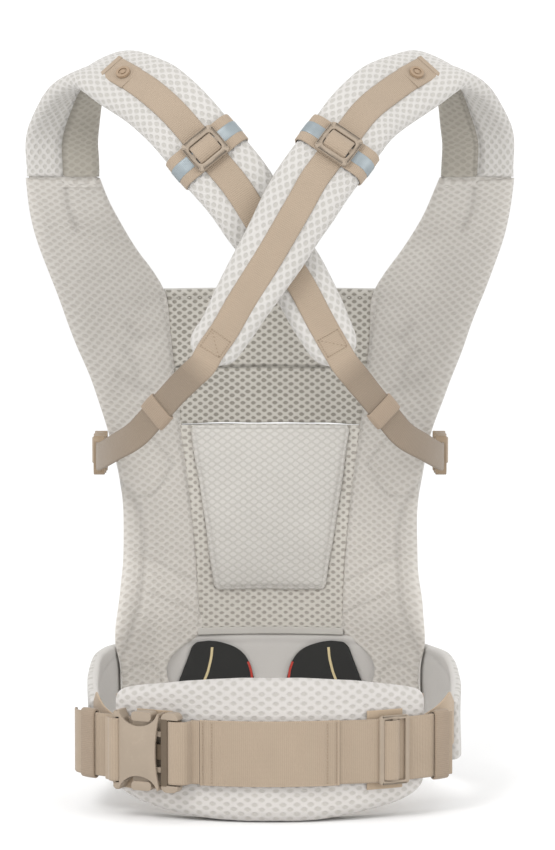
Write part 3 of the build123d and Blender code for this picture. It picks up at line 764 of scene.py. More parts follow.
# ---------------------------------------------------------------- side panels
# Height, then x and y of the inner and the outer edge; None is on the body panel's curve.
STATIONS = [
    (58, 82, None, 123.5, None), (98, 80, None, 124, None), (113, 58.5, None, 127, None),
    (134, 59, None, 126, None), (176, 60, None, 122, None), (232, 66, None, 123, None),
    (276, 72, None, 131, None), (318, 77, None, 144, None), (362, 82, None, 160, 70),
    (401, 87, 108, 174, 57), (436, 109, 84, 186, 46), (470, 127, 55, 194, 41),
    (494.5, 137, 40, 197, 40),
]
# Seen from above, the lower part leaves the panel's curve and passes inside the belt.
SKIRT_PLAN = [(50, 124.5), (70, 117), (82, 108), (96, 98.5), (106, 87), (123.5, 60.5), (131, 50)]
SIDE_LOW, SKIRT_TOP, BEND_TOP = 58, 116, 186
ON_WALL_TOP, OFF_WALL = 318, 401


def edge_path():
    """The side panel's inner and outer edges, x and y of each, by height."""
    rows = []
    for z, xi, yi, xo, yo in STATIONS:
        arc = [BACK_Y + math.sqrt(BACK_R**2 - x * x) for x in (xi, xo)]
        rows.append((xi, arc[0] if yi is None else yi, xo, arc[1] if yo is None else yo))
    return Path(rows, knots=vec([row[0] for row in STATIONS]))


EDGES = edge_path()


def side_place(sign):
    def place(s, t):
        z = SIDE_LOW + (SHOULDER_Z - 0.5 - SIDE_LOW) * t
        xi, yi, xo, yo = EDGES.at(z.ravel())[0].T.reshape(4, *z.shape)
        s2 = 1 - s if sign > 0 else s
        x, y = xo + (xi - xo) * s2, yo + (yi - yo) * s2
        chord = np.hypot(xo - xi, yo - yi)
        on_arc = BACK_Y + np.sqrt(np.clip(BACK_R**2 - x * x, 1, None))
        share = np.clip((OFF_WALL - z) / (OFF_WALL - ON_WALL_TOP), 0, 1)
        y = y + (on_arc - y) * share * 0.8
        bend = np.clip((BEND_TOP - z) / (BEND_TOP - SKIRT_TOP), 0, 1)
        bend = bend * bend * (3 - 2 * bend)
        y = y + (np.interp(x, *zip(*SKIRT_PLAN)) - y) * bend
        longer = z + 14 * np.clip((z - 380) / 110, 0, 1) ** 1.5  # the cloth leans forward near the shoulder
        weave = np.stack([s2 * chord, longer], -1)
        return np.stack([sign * x, y, z], -1), weave, np.stack([sign * x, z], -1)
    return place


def side_front(s, t):
    """How far the side panel's front stands over its middle."""
    z = SIDE_LOW + (SHOULDER_Z - SIDE_LOW) * t
    return np.interp(z, [58, 104, 130, 150, 500], [1.5, 1.7, 4.0, 4.8, 4.8])


def side_back(s, t):
    z = SIDE_LOW + (SHOULDER_Z - SIDE_LOW) * t
    return np.interp(z, [58, 104, 118, 130, 500], [1.3, 1.5, 3.0, 4.8, 4.8])


def mirror_line(line, sign):
    return [(sign * x, z) for x, z in line]


# The side panel's seams and folds, as x and height.
ROLL = [(124, 62), (122, 100), (117, 118), (110, 140), (106.5, 170), (107, 200), (112, 222), (120, 236),
        (127, 243)]
PATCH = [(128, 277), (99, 278), (82, 256), (99, 231), (125, 229)]
SLANT_HIGH = [(106, 178), (92, 172), (74, 162), (57, 154)]
SLANT_LOW = [(107, 151), (92, 144), (76, 137), (64, 131), (58, 127)]
INNER_EDGE = [(62, 118), (60, 134), (61.5, 176), (69, 232), (75.5, 276), (80, 318), (85, 362), (91, 398)]
ARCH = [(121, 66), (121, 84), (114, 92), (100, 92), (92, 82), (90, 66)]
OUTER_SEAMS = [[(70, 118), (76, 200), (86, 300), (96, 390)],
               [(124, 136), (118, 200), (126, 276), (150, 360), (176, 430)]]
PAINTED_LIGHT_AND_SHADE = [(58, 0.19), (150, 0.15), (250, 0.05), (330, -0.05), (380, -0.05), (440, 0.0)]  # painted light low on the side panel and painted shade from 330 to 380 mm, by height
LINING_SEAM = [(165, 494), (163, 470), (157, 455)]
PLEATS = [[(121, 352), (113, 336), (112, 318)], [(128, 332), (116, 322), (104, 318)], [(118, 372), (110, 360)]]

for side, sign in SIDES.items():
    panel = pad(f"{side}_side_cover", side_place(sign), 64, 436, (side_front, side_back), (6, 6, 1.5, 2.2), 4.6,
                ["panel_mesh", "outer"])
    x, z, _ = read(panel, "param").T
    inner, _, outer, _ = EDGES.at(z)[0].T
    at_rim = (np.abs(np.abs(x) - inner) < 0.5) | (np.abs(np.abs(x) - outer) < 0.5)
    inflate(panel, 1.6, 2.2, at_rim | (z < 126) | (z > 488))
    baked(panel)
    roll, lining_seam, *sewn = [mirror_line(line, sign) for line in (
        ROLL, LINING_SEAM, PATCH + PATCH[:1], SLANT_HIGH, SLANT_LOW, INNER_EDGE, ARCH)]
    outer_seams = [mirror_line(line, sign) for line in OUTER_SEAMS]
    groove(panel, [roll], 2.0, 2.6, painted_shading=0.12)
    groove(panel, sewn, 0.8, 1.6, painted_shading=0.08)
    groove(panel, [lining_seam], 1.6, 2.4, painted_shading=0.12)
    groove(panel, [mirror_line(line, sign) for line in PLEATS], 1.5, 4.0, painted_shading=0.07)
    groove(panel, outer_seams, 1.0, 2.0, side=1)
    # painted light low on the side panel and painted shade higher up
    add_painted_shade(panel, -np.interp(read(panel, "param")[:, 1], *zip(*PAINTED_LIGHT_AND_SHADE)))
    ripple(panel, 1.3, 24, 5.0 * sign)
    attach(panel, "carrier", [f"{side}_side_panel", f"{side}_panel_skirt"])
    stitches(f"{side}_side_stitches", seam(Surface(panel), sewn), "carrier")
    stitches(f"{side}_side_outer_stitches", seam(Surface(panel, 1), outer_seams), "carrier")

# ---------------------------------------------------------------- waist belt
BELT_BACK = [(112, 91), (92, 111), (64, 121.5), (32, 128.1), (0, 130.2)]
BELT_SIDE = {
    "left": [(138, -48), (141.5, -22), (142, 4), (138.5, 34), (129.5, 64)],
    "right": [(145, -48), (148.5, -22), (148, 4), (142, 34), (130, 64)],
}
# Its lower and upper edges, by y.
BELT_LOW = [(-49, 36), (-20, 33), (6, 30), (50, 23), (90, 16), (108, 12), (118, 7), (122, 2), (127, 0),
            (131, 0)]
BELT_HIGH = [(-49, 82), (-30, 90), (-2, 99), (14, 106), (30, 110), (60, 111), (100, 112), (131, 112.3)]


def band_place(plan, low, high, mirror=False):
    """place() for a standing band: its plan, and its lower and upper edges by y."""
    path = Path(plan)

    def place(s, t):
        value, _ = path.at((1 - s if mirror else s).ravel() * path.length)
        x, y = value.T.reshape(2, *s.shape)
        bottom = np.interp(y, *zip(*low))
        z = bottom + (np.interp(y, *zip(*high)) - bottom) * t
        along = np.stack([s * path.length, z], -1)
        return np.stack([-x if mirror else x, y, z], -1), along, along
    return place


belt_plan = [(-x, y) for x, y in BELT_SIDE["left"] + BELT_BACK] + (BELT_SIDE["right"] + BELT_BACK[:-1])[::-1]
belt = pad("belt_cover", band_place(belt_plan, BELT_LOW, BELT_HIGH), 560, 100, (4.4, 4.2), (4, 4, 4, 4), 5,
           ["smooth", "mesh"])
baked(belt)
BELT_SEAM = [[(8, 80), (120, 104), (280, 106), (440, 104), (552, 80)]]
groove(belt, BELT_SEAM, 0.7, 1.4)
ripple(belt, 1.0, 28, 2.0)
attach(belt, "carrier", ["waist_belt", "left_belt_wing", "right_belt_wing"])


def patch_place(sign):
    """place() for a seat-width patch, narrower and rounded towards its top."""
    def place(s, t):
        z = 50 + 56.5 * t
        low = np.interp(z, [50, 68, 86, 95, 101, 105, 106.5], [8, 12.5, 17, 22.5, 30, 40, 52])
        high = np.interp(z, [50, 72, 92, 103, 105.8, 106.5], [86, 79, 71, 67, 63, 53])
        x = sign * (low + (high - low) * (s if sign > 0 else 1 - s))
        return wall(x, z, -6.2), np.stack([x, z], -1), np.stack([x, z], -1)
    return place


PATCH_TAPES = [("scale_line", [(50, 103), (51, 92), (54, 80), (59, 68), (65, 56)], "beige", 2.2),
               ("end_mark", [(20, 90), (17, 82), (15.5, 72)], "red", 2.0)]
for side, sign in SIDES.items():
    patch = pad(f"{side}_patch", patch_place(sign), 60, 56, (0.9, 0.5), (1, 1, 1, 1), 3, ["black"])
    attach(baked(patch), "carrier", [f"{side}_seat_width_patch"])
    for name, line, mat, wide in PATCH_TAPES:
        line = walk(mirror_line(line, sign), 4)
        spots = wall(line[:, 0], line[:, 1], -7.2)
        normal = unit(np.stack([-spots[:, 0], -(spots[:, 1] - BACK_Y), 0 * spots[:, 0]], -1))
        track = Path(spots, normal)
        tape = sweep(f"{side}_{name}", track, np.linspace(0, track.length, 14), lambda s: (wide, 0.5, 0), [mat],
                     (3, 2))
        attach(tape, "carrier")

# ---------------------------------------------------------------- lumbar pad
# Its lower and upper edges, by distance from the middle.
LUMBAR_LOW = [(0, 0), (20, 0), (40, 0.8), (60, 3), (80, 6.6), (98, 11), (108, 15), (114, 19.5), (118, 26)]
LUMBAR_HIGH = [(0, 113), (22, 112.8), (44, 111.6), (66, 109.4), (84, 106.6), (98, 104), (108, 101.6),
               (114, 99.5), (118, 96)]
LUMBAR_HALF = 118


def lumbar_edges(reach):
    return np.interp(reach, *zip(*LUMBAR_LOW)), np.interp(reach, *zip(*LUMBAR_HIGH))


def lumbar_place(radius, grow=0.0, lower=0.3):
    """place() for the lumbar pad's cloths: wider by grow at each end, lower at the top."""
    def place(s, t):
        x = (2 * s - 1) * (LUMBAR_HALF + grow)
        low, high = lumbar_edges(np.abs(x) * LUMBAR_HALF / (LUMBAR_HALF + grow))
        low, high = low + 0.3, high - lower
        z = low + (high - low) * t
        weave = np.stack([FRONT_R * np.arcsin(x / FRONT_R), z], -1)
        return lumbar(x, z, radius), weave, np.stack([x, z], -1)
    return place


cushion = pad("lumbar_cushion", lumbar_place(-11), 250, 108, (10.4, 10.4), (6, 6, 11, 11), 4.6,
              ["pad_mesh", "lining_mesh"])
x, z, _ = read(cushion, "param").T
low, high = lumbar_edges(np.abs(x))
at_rim = (z < low + 2) | (z > high - 2) | (np.abs(x) > LUMBAR_HALF - 2)
inflate(cushion, 2.0, 2.0, at_rim | (np.abs(z - WAIST_Z) < 28))  # the channel holds the middle down
baked(cushion)
ripple(cushion, 1.0, 26, 9.0)
# painted shade on the lumbar pad's top, from 78 mm up to 104 mm high
add_painted_shade(cushion, np.interp(read(cushion, "param")[:, 1], [78, 104], [0, 0.1]))
attach(cushion, "carrier", ["lumbar_pad"])

backing = pad("lumbar_back_cloth", lumbar_place(-23.3, 3.0, 5.0), 250, 108, (0.8, 0.8), (1, 1, 1, 1), 6,
              ["tan"])
attach(baked(backing), "carrier", ["lumbar_backing"])

# A gusset from each wing to the end of the lumbar pad: its plan, then its lower and upper edges by y.
GUSSET_PLAN = {
    "left": [(105.5, -103.4), (118.2, -95.6), (129, -80.5), (135.5, -64), (139, -48)],
    "right": [(105.5, -103.4), (117.7, -94.8), (130.4, -79.8), (140, -64), (145.5, -48)],
}
GUSSET_LOW = {"left": [(-104, 23), (-95, 24), (-47, 50)], "right": [(-104, 34), (-95, 34), (-47, 50)]}
GUSSET_HIGH = [(-104, 79), (-95, 79), (-80, 84), (-60, 93), (-47, 82)]


for side, sign in SIDES.items():
    place = band_place(GUSSET_PLAN[side], GUSSET_LOW[side], GUSSET_HIGH, sign < 0)
    gusset = pad(f"{side}_gusset_cloth", place, 72, 46, (0.7, 0.7), (1, 1, 1, 1), 4, ["tan"])
    baked(gusset)
    ripple(gusset, 0.5, 30, 6.0 * sign)
    attach(gusset, "carrier", [f"{side}_gusset"])

# ---------------------------------------------------------------- shoulder straps


def straight(start, end, inset):
    """Four stations of a straight run, so that the smooth line stays straight in it."""
    a, b = vec(start), vec(end)
    step = unit(b - a) * inset
    return [tuple(p) for p in (a, a + step, b - step, b)]


# Places on each strap and the directions out of it, for the right strap; the left one is mirrored.
SHOULDER_LINE = [
    ((167, 46, 495.5), (0, 1, 0)), ((167, 46, 501), (0, 1, 0)), ((168, 43, 526), (0.08, 0.97, 0.25)),
    ((164, 30, 553), (0.42, 0.65, 0.63)), ((154, 9, 577), (0.55, 0.22, 0.8)),
    ((136, -12, 586), (0.36, -0.2, 0.91)), ((114, -34, 576), (0.28, -0.66, 0.68)),
    ((93, -53, 563), (0.25, -0.85, 0.45)),
]
CHEST_LINE = {
    "left": straight((67, -73, 539), (31, -88, 497), 6)
    + [(3, -93, 455), (-24, -97, 415), (-40, -98, 385), (-52, -98, 364), (-58, -98, 354)],
    "right": straight((69, -78, 542), (36, -102, 499), 6)
    + [(23, -108, 477), (-1, -113, 436), (-23, -116, 401), (-35, -116, 380), (-46, -115, 364),
       (-51, -114.5, 355)],
}
SLIDER_NORMAL = {"left": (0.1, -0.96, 0.26), "right": (0.1, -0.9, 0.4)}
PAD_TAPER = {"left": [54, 48, 44, 38, 28], "right": [58, 52, 46, 42, 38, 28]}
TAIL_END = straight((-76, -95, 331), (-99, -82, 302), 5), straight((-74, -102, 331), (-99, -84, 302), 5)
TAIL_REST = [(-121, -57, 285), (-134, -22, 275), (-138, 19, 271.5)]
TAIL_LINE = {"left": [(-66, -97, 344)] + TAIL_END[0] + TAIL_REST,
             "right": [(-60, -111, 346)] + TAIL_END[1] + TAIL_REST}
TAIL_NORMALS = [(-0.1, -1, 0)] + 4 * [(-0.35, -0.93, 0.1)]
TAIL_NORMALS += [(-0.75, -0.66, 0.05), (-0.97, -0.25, 0), (-1, 0, 0)]
PAD_THICK, PAD_WIDTH, STRAP_WEB, WEB = 12.0, 59.0, 22.0, 1.8
END_ROUND, END_THIN = 13.0, 6.0  # how far from its end the padding narrows and thins
SNAP_AT, LINING_ENDS_AT = 6, 7  # stations
SLIDER_AT = len(SHOULDER_LINE) + 1


def strap_path(side, sign):
    """The strap's outer middle line, its normals and its padding's width."""
    chest = CHEST_LINE[side]
    points = [p for p, _ in SHOULDER_LINE] + chest + TAIL_LINE[side]
    normals = [n for _, n in SHOULDER_LINE] + 4 * [SLIDER_NORMAL[side]]
    normals += (len(chest) - 4) * [(0, -1, 0.06)] + TAIL_NORMALS
    widths = (len(SHOULDER_LINE) + 4) * [PAD_WIDTH] + PAD_TAPER[side]
    widths += (len(points) - len(widths)) * [STRAP_WEB]
    flip = vec([sign, 1, 1])
    return Path(vec(points) * flip, unit(vec(normals)) * flip, vec(widths)), len(SHOULDER_LINE) + len(chest)


def crown(s, half, thick):
    """The padding stands a little proud on both sides of the webbing."""
    shaped = half.copy()
    reach = np.abs(half[:, 0]) / max(np.abs(half[:, 0]).max(), 1)
    swell = 1.1 * np.clip(np.sin(math.pi * np.clip(reach, 0, 1)), 0, 1) * (thick / PAD_THICK)
    shaped[:, 1] += np.where(half[:, 1] > 0, swell, -swell * 0.5)
    return shaped


def refinish(node, *mats):
    """Give a CAD node new materials."""
    node.data.materials.clear()
    for mat in mats:
        node.data.materials.append(MAT[mat])


def frame_at(path, s):
    """Origin, across, along and out at one place of a strap."""
    return [rows[0] for rows in frames(path, [s])]


def web_strip(name, path, start, end, width, low, thick, painted_shading=0.08, step=3.0, lift=lambda s: 0.0, shape=(9, 3)):
    """A strip of webbing on a path, at a height over it."""
    s = start + spaced(end - start, step, 0.4, 0.4)
    # painted shade on the strip's rounded edges
    return sweep(name, path, s, lambda k: (width, thick, low + thick / 2 + lift(k)), ["web"], shape, painted_shading)


def tube_round(name, path, at, length, width, low, high, wall_thick, mat, puff=0.0):
    """A flat sleeve round a strap, made of thin cloth."""
    s = at + spaced(length, 2.2, 0.5, 0.5) - length / 2
    spot, across, along, up = frames(path, s)
    rows, weave = [], []
    thick = high - low
    share = rounded(s - s[0], length, 0.5, 0.5)
    for layer in (1, 0):
        for k in range(len(s)):
            grow = wall_thick * (share[k] if layer else 0)
            bulge = puff * math.sin(math.pi * (s[k] - s[0]) / length) if layer else 0
            half = stadium(width + 2 * (grow + bulge), thick + 2 * (grow + bulge), 10, 6)
            loop, measure = ring_of(half)
            rows.append(spot[k] + loop[:, :1] * across[k] + (loop[:, 1:] + (low + high) / 2) * up[k])
            weave.append(np.stack([s[k] + 0 * measure, measure, 0 * measure], -1))
    n, m = len(s), len(rows[0])
    ids = np.arange(2 * n * m).reshape(2, n, m)
    ids[1] = ids[1][::-1]
    ring = np.concatenate([ids[0], ids[1]])
    nxt = np.roll(ring, -1, axis=1)
    ring2, nxt2 = np.roll(ring, -1, axis=0), np.roll(nxt, -1, axis=0)
    quads = np.stack([ring, ring2, nxt2, nxt], -1).reshape(-1, 4)
    obj = add_mesh(name, np.concatenate(rows), quads, [mat], None, np.concatenate(weave))
    face_out(obj)
    return obj


def strip_line(path, s, shift, out):
    """Points on a strap at distances along and across it, for its stitches."""
    spot, across, along, up = frames(path, s)
    return spot + across * (shift + 0 * s)[:, None] + up * out, up


def box_stitches(path, start, length, half, out, step):
    """Runs of stitches round a box on a strap, and over one diagonal."""
    s = np.arange(start, start + length, step)
    runs = [strip_line(path, s, shift, out) for shift in (half, -half, 2 * half * (s - start) / length - half)]
    row = np.arange(-half, half + 0.1, step)
    return runs + [strip_line(path, at + 0 * row, row, out) for at in (start, start + length)]


for side, sign in SIDES.items():
    body = f"{side}_strap"
    path, padded = strap_path(side, sign)
    end = path.knots[padded - 1]

    def strap_section(s, path=path, end=end):
        width = float(path.at([s])[0][0, 6])
        gap = end - s
        if gap < END_ROUND:
            width -= 2 * (END_ROUND - math.sqrt(max(END_ROUND**2 - (END_ROUND - gap) ** 2, 0)))
        thick = PAD_THICK * math.sqrt(max(1 - (1 - min(gap / END_THIN, 1)) ** 2, 0.02))
        thick *= math.sqrt(max(1 - (1 - min(s / 2.2, 1)) ** 2 * 0.5, 0))
        return max(width, 3), thick, -PAD_THICK / 2

    cover = sweep(f"{side}_strap_pad", path, spaced(end, 4.4, 2.2, END_ROUND), strap_section,
                  ["mesh", "lining_mesh"], (8, 5), twin=crown, lined=-sign)
    round_it, along, _ = read(cover, "param").T
    held = (np.abs(round_it) < 12) | (np.abs(round_it) > 62)  # under the webbing, and the underside's middle
    inflate(cover, 1.4, 1.5, held | (along < 2.5) | (along > end - 3))
    baked(cover)
    under = ring_of(stadium(PAD_WIDTH, PAD_THICK, 8, 5))[1].max()
    lining_end = path.knots[LINING_ENDS_AT]
    groove(cover, [[(k, 0), (k, lining_end)] for k in (-under, under)], 2.4, 3.0, painted_shading=0.14)
    ripple(cover, 0.9, 30, 4.0 * sign)
    attach(cover, body, [f"{side}_shoulder_pad"])

    # the seam with the side panel: a band at the foot of the strap
    foot_x, foot_y = SHOULDER_LINE[0][0][:2]
    low, high = [(sign * foot_x, foot_y, SHOULDER_Z + dz) for dz in (-8, 8)]
    seam_path = Path([low, high], [(0, 1.0, 0)] * 2)
    joint = sweep(f"{side}_shoulder_seam", seam_path, spaced(seam_path.length, 2.5, 0.6, 0.6),
                  lambda s: (PAD_WIDTH - 4.0, PAD_THICK - 7.0, -PAD_THICK / 2), ["panel_mesh"], (8, 5))
    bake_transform(joint)
    attach(joint, None)

    # webbing, from under the snap tab to the side buckle, with painted shade on its tail
    snap_s = path.knots[SNAP_AT]
    web = web_strip(f"{side}_webbing", path, snap_s + 8.5, path.length, STRAP_WEB, 0.5, WEB)
    # painted shade: the webbing darkens towards its tail
    add_painted_shade(web, np.interp(read(web, "weave")[:, 1], [end - 4, end + 14], [0, 0.34]))
    attach(web, body, [f"{side}_strap_webbing"])
    runs = box_stitches(path, end - 26, 15, STRAP_WEB / 2 - 2.5, 2.4, 2.0)
    stitches(f"{side}_box_stitches", runs, body, "tan_thread", 2.0, 1.5, 0.22)

    # snap tab: a folded piece of webbing with rounded edges
    o, a, l, u = frame_at(path, snap_s)
    tab_path = Path([o + l * k for k in (-18, -6, 6, 9.5)], np.tile(u, (4, 1)))
    tab = web_strip(f"{side}_tab", tab_path, 0, tab_path.length, STRAP_WEB + 1.4, 0.4, 2.0, 0.1, 2.0)
    attach(tab, body, [f"{side}_snap_tab"])
    ridge = web_strip(f"{side}_tab_fold", tab_path, 0.2, 4.0, STRAP_WEB + 1.8, 1.8, 1.0, 0.1, 1.2)
    attach(ridge, body)
    refinish(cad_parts[f"{side}_snap"], "snap")

    # slider: elastic band, reflective stripe and the webbing that crosses its bar
    rider = f"{side}_chest_slider"
    slider_s = (path.knots[SLIDER_AT] + path.knots[SLIDER_AT + 1]) / 2
    sleeve = tube_round(f"{side}_band", path, slider_s, 26, PAD_WIDTH + 1, -PAD_THICK - 0.6, WEB + 0.9, 1.2,
                        "web", 0.25)
    attach(sleeve, rider, [f"{side}_slider_band"])
    tape = tube_round(f"{side}_stripe", path, slider_s, 10.5, PAD_WIDTH + 3.6, -PAD_THICK - 1.95, WEB + 2.25,
                      0.45, "reflective")
    attach(tape, rider, [f"{side}_reflective_stripe"])

    def dome(s, at=slider_s):
        return 6.8 * max(math.cos(math.pi * (s - at) / 17.5), 0) ** 0.55

    arch = web_strip(f"{side}_slider_webbing", path, slider_s - 8.6, slider_s + 8.6, STRAP_WEB - 1.4, 2.3, WEB,
                     0.1, 1.0, dome)
    attach(arch, rider)

    # tail keeper
    tail_s = (path.knots[padded + 2] + path.knots[padded + 3]) / 2
    keeper = tube_round(f"{side}_keeper", path, tail_s, 15, STRAP_WEB + 1, -0.3, WEB + 0.9, 1.5, "dark_web",
                        0.3)
    attach(keeper, f"{side}_tail_keeper", [f"{side}_tail_keeper"])

# ---------------------------------------------------------------- side buckles
# The webbing loop that holds each socket, seen from above: from its sewn end round the socket's bar.
LOOP_BAR = (138.0, 67.3, 271.5)
LOOP_PLAN = [(-12.1, 17.5), (-12.1, 11), (-10.4, 9), (-7.6, 8.6), (-6.6, 6.4), (-6.6, 0), (-5.2, -2.6),
             (-2.4, -3.4), (2.4, -3.4), (5.2, -2.6), (6.6, 0), (6.6, 5.6), (5.2, 8.2), (2.4, 9.1), (-4.5, 9.1)]
for side, sign in SIDES.items():
    points = vec([(sign * (LOOP_BAR[0] + dx), LOOP_BAR[1] + dy, LOOP_BAR[2]) for dx, dy in LOOP_PLAN])
    tang = np.gradient(points, axis=0)
    normal = np.stack([tang[:, 1], -tang[:, 0], 0 * tang[:, 0]], -1)
    loop_path = Path(points, unit(normal))
    loop = sweep(f"{side}_buckle_webbing", loop_path, spaced(loop_path.length, 2.0, 0.4, 0.4),
                 lambda s: (STRAP_WEB - 0.6, WEB, 0), ["web"], (8, 3), painted_edge_shade=0.08)
    attach(loop, "carrier", [f"{side}_side_buckle_loop"])

PLASTIC = ("buckle_socket", "buckle_plug", "prong", "triglide", "chest_slider")
for name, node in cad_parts.items():
    if any(word in name for word in PLASTIC):
        refinish(node, "dark_plastic" if "side_buckle" in name else "plastic")
        weld = node.modifiers.new("weld", "WELD")
        weld.merge_threshold = 0.02 * MM
        soft = node.modifiers.new("soft edges", "BEVEL")
        soft.width, soft.segments = 0.6 * MM, 2
        soft.limit_method, soft.angle_limit = "ANGLE", math.radians(35)
        soft.use_clamp_overlap = True
        node.data.polygons.foreach_set("use_smooth", [True] * len(node.data.polygons))

# What lies between the waist plug's two ears is in the socket's shade.
EARS_AT = 24
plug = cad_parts["waist_buckle_plug"]
refinish(plug, "plastic", "painted_shade_plastic")
heights = [polygon.center.z / MM - WAIST_Z for polygon in plug.data.polygons]
plug.data.polygons.foreach_set("material_index", [int(abs(height) < EARS_AT) for height in heights])

# ---------------------------------------------------------------- waist webbing


def on_belt(turn, radius):
    """Origin, right, up and out at a turn round the front curve."""
    angle = math.radians(turn)
    origin = vec([radius * math.sin(angle), FRONT_Y - radius * math.cos(angle), WAIST_Z])
    out = vec([math.sin(angle), -math.cos(angle), 0])
    return origin, vec([math.cos(angle), math.sin(angle), 0]), vec([0, 0, 1.0]), out


WEB_R = FRONT_R + 1.5
BUCKLE_TURN, BUCKLE_R, GLIDE_TURN = 25.1, FRONT_R + 8.2, 26.1
WAIST_WEB = 50.0


def plan_path(points):
    """A path seen from above whose normal is on its right-hand side."""
    spots = vec([(x, y, WAIST_Z) for x, y in points])
    tang = np.gradient(spots, axis=0)
    return Path(spots, unit(np.stack([tang[:, 1], -tang[:, 0], 0 * tang[:, 0]], -1)))


def front_points(turns, radius):
    return [tuple(on_belt(t, radius)[0][:2]) for t in turns]


def waist_web(name, plan, narrower=0.0, thick=WEB, painted_shading=0.08, step=1.6):
    """Wide webbing that stands on edge along a plan."""
    path = plan_path(plan)
    return web_strip(name, path, 0, path.length, WAIST_WEB - narrower, 0, thick, painted_shading, step, shape=(20, 3))


run = front_points([-16.4, -12, -8, -4, 0, 4, 8, 12, 16], WEB_R)
run += front_points([19.1, 26.1, 33.1, 34.5, 41], WEB_R + WEB)
attach(waist_web("waist_webbing", run, step=3.5), "carrier", ["front_waist_webbing"])

home = on_belt(-BUCKLE_TURN, BUCKLE_R)
rear = home[0] - home[1] * 28
run = [(-154, -20), (-152, -50)] + front_points([-44, -37, -34], WEB_R + WEB) + [(rear[0], rear[1])]
left = waist_web("left_webbing", run, step=3.0)
co = read(left)
narrow = np.interp(co[:, 1], [-0.062, -0.02], [1, 0.7])  # its far end is rounded
co[:, 2] = WAIST_Z * MM + (co[:, 2] - WAIST_Z * MM) * narrow
write(left, co)
attach(left, "waist_socket_side", ["left_waist_webbing"])


MOUTH = home[0] + home[1] * 11.5


def plug_side(along, out):
    """A point seen from above, by its distance out of the socket's mouth and out of its middle plane."""
    spot = MOUTH + home[1] * along + home[3] * out
    return float(spot[0]), float(spot[1])


# The front webbing goes round the plug's bar and comes back over itself to its bar tacks.
wrap = [plug_side(*p) for p in ((15, -3.4), (11, -3.1), (8, -2.0), (6.9, 0.2), (8, 2.6), (11, 3.3), (15, 2.9),
                                (19, 1.2))]
wrap += front_points([-16.2, -15.2, -14.4], WEB_R + WEB + 0.1)
attach(waist_web("plug_webbing", wrap, 0.6), "carrier")

# The left webbing comes up through the socket's slot and round its end bar.
wrap = [plug_side(*p) for p in ((-47, 1.0), (-43.5, 3.0), (-41, 6.2), (-38.6, 7.4), (-36.4, 6.9), (-35.4, 4.6),
                                (-35.3, 1.5))]
attach(waist_web("socket_webbing", wrap, 0.6), "waist_socket_side")

# The adjusting end is folded over the tri-glide's middle bar.
origin, right, _, out = on_belt(GLIDE_TURN, WEB_R + 0.2 + WEB + 0.6)
wrap = ((-8.2, -0.4), (-7.6, 2.2), (-5.4, 4.0), (-2.8, 4.5), (0, 4.4), (2.2, 3.3), (3.4, 1.2), (3.6, -0.4))
wrap = [tuple((origin + right * a + out * b)[:2]) for a, b in wrap]
glide = waist_web("triglide_webbing", wrap, 3.0, WEB - 0.4, 0.12, 1.0)
attach(glide, "waist_triglide")


def curve_strip(name, x0, x1, radius, half, thick, mat):
    """A flat cloth on the lumbar curve between two x, and a half height over and under the waist line."""
    def place(s, t):
        x, z = x0 + (x1 - x0) * s, WAIST_Z + half * (2 * t - 1)
        return lumbar(x, z, radius), np.stack([z, FRONT_R * np.arcsin(x / FRONT_R)], -1), np.stack([x, z], -1)
    return baked(pad(name, place, x1 - x0, 2 * half, (thick / 2, thick / 2), 4 * (0.6,), 4.0, [mat]))


channel = curve_strip("lumbar_channel_cloth", -54, 54, 4.0, 25.6, 1.4, "web")
ENDS = [[(k, WAIST_Z - 24.4), (k, WAIST_Z + 24.4)] for k in (-51.5, -44.5, 44.5, 51.5)]
groove(channel, ENDS, 0.5, 1.0, painted_shading=0.12)
attach(channel, "carrier", ["lumbar_channel"])
stitches("channel_stitches", seam(Surface(channel), ENDS, 2.4), "carrier", "tan_thread", 2.4, 1.7,
         0.24)

for side, sign in SIDES.items():
    low, high = sorted((sign * 75, sign * 103))
    piece = curve_strip(f"{side}_end_loop", low, high, 0.7, 31, 1.0, "tan")
    attach(piece, "carrier", ["lumbar_end_loops"] if side == "left" else ())

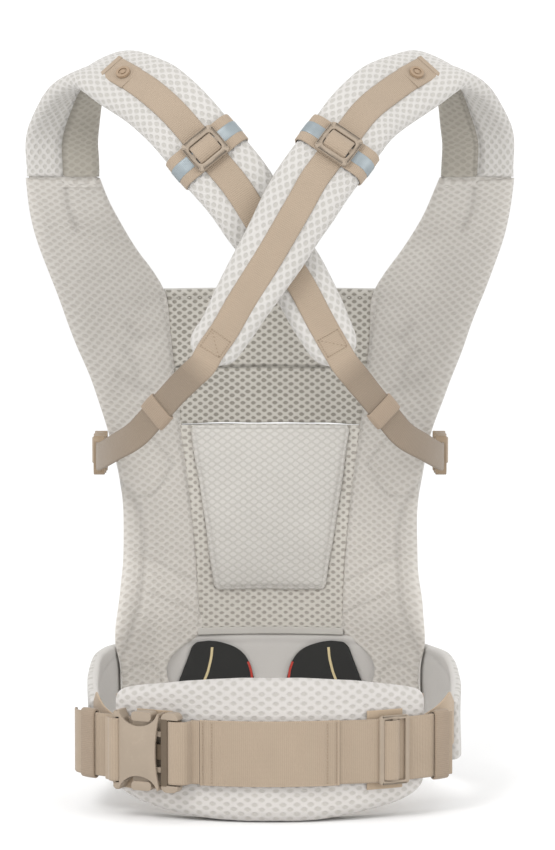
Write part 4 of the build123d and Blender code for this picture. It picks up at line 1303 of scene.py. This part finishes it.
# A keeper loop round the waist webbing at each side.
for side, turn in (("right", 37.75), ("left", -40.5)):
    origin, right, _, out = on_belt(turn, WEB_R + 1.5 + WEB / 2)
    length, half = 14, WEB / 2 + 1.3
    track = Path([origin + right * k for k in (-length, 0, length)], np.tile(out, (3, 1)))
    keeper = tube_round(f"{side}_waist_loop", track, length, length, WAIST_WEB + 2, -half, half, 1.4,
                        "dark_web", 0.3)
    attach(keeper, f"{side}_waist_keeper", [f"{side}_waist_keeper"])

# ---------------------------------------------------------------- floor, light and camera
bpy.ops.mesh.primitive_plane_add(size=1)
floor = bpy.context.object
floor.name = "floor"
floor.scale = (60, 60, 1)
ground = Nodes("floor_paint")
cloud = ground.noise(ground.place(), 3.0)
paint = ground.mix(cloud, (0.9, 0.9, 0.9, 1), (0.92, 0.92, 0.92, 1))
floor.data.materials.append(ground.finish(paint, 0.9))
ground.shader.inputs["Specular IOR Level"].default_value = 0.0
floor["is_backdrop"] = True

world = bpy.data.worlds.new("studio")
scene.world = world
world.use_nodes = True
world.node_tree.nodes["Background"].inputs[0].default_value = (1, 1, 1, 1)
world.node_tree.nodes["Background"].inputs[1].default_value = 1.12


def area_light(name, place, target, size, power):
    light = bpy.data.lights.new(name, "AREA")
    light.shape, light.size, light.energy = "DISK", size, power
    obj = bpy.data.objects.new(name, light)
    obj.location = place
    obj.rotation_mode = "QUATERNION"
    obj.rotation_quaternion = (Vector(target) - Vector(place)).to_track_quat("-Z", "Y")
    scene.collection.objects.link(obj)


area_light("key", (-1.3, -1.8, 2.2), (0, 0, 0.3), 1.2, 28)
area_light("fill", (1.8, -1.6, 1.0), (0, 0, 0.3), 1.4, 10)

camera = bpy.data.cameras.new("camera")
camera.sensor_width = 36
camera.lens = 153.53
view = bpy.data.objects.new("camera", camera)
target = Vector((0.006, 0, 0.298))
tilt = math.radians(5)
view.location = target + Vector((0, -math.cos(tilt), math.sin(tilt))) * 2.9
view.rotation_mode = "QUATERNION"
view.rotation_quaternion = (target - view.location).to_track_quat("-Z", "Y")
camera.clip_start, camera.clip_end = 0.05, 100
scene.collection.objects.link(view)
scene.camera = view

# The pads' own parameters were only for making them.
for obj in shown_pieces():
    if "param" in obj.data.attributes:
        obj.data.attributes.remove(obj.data.attributes["param"])
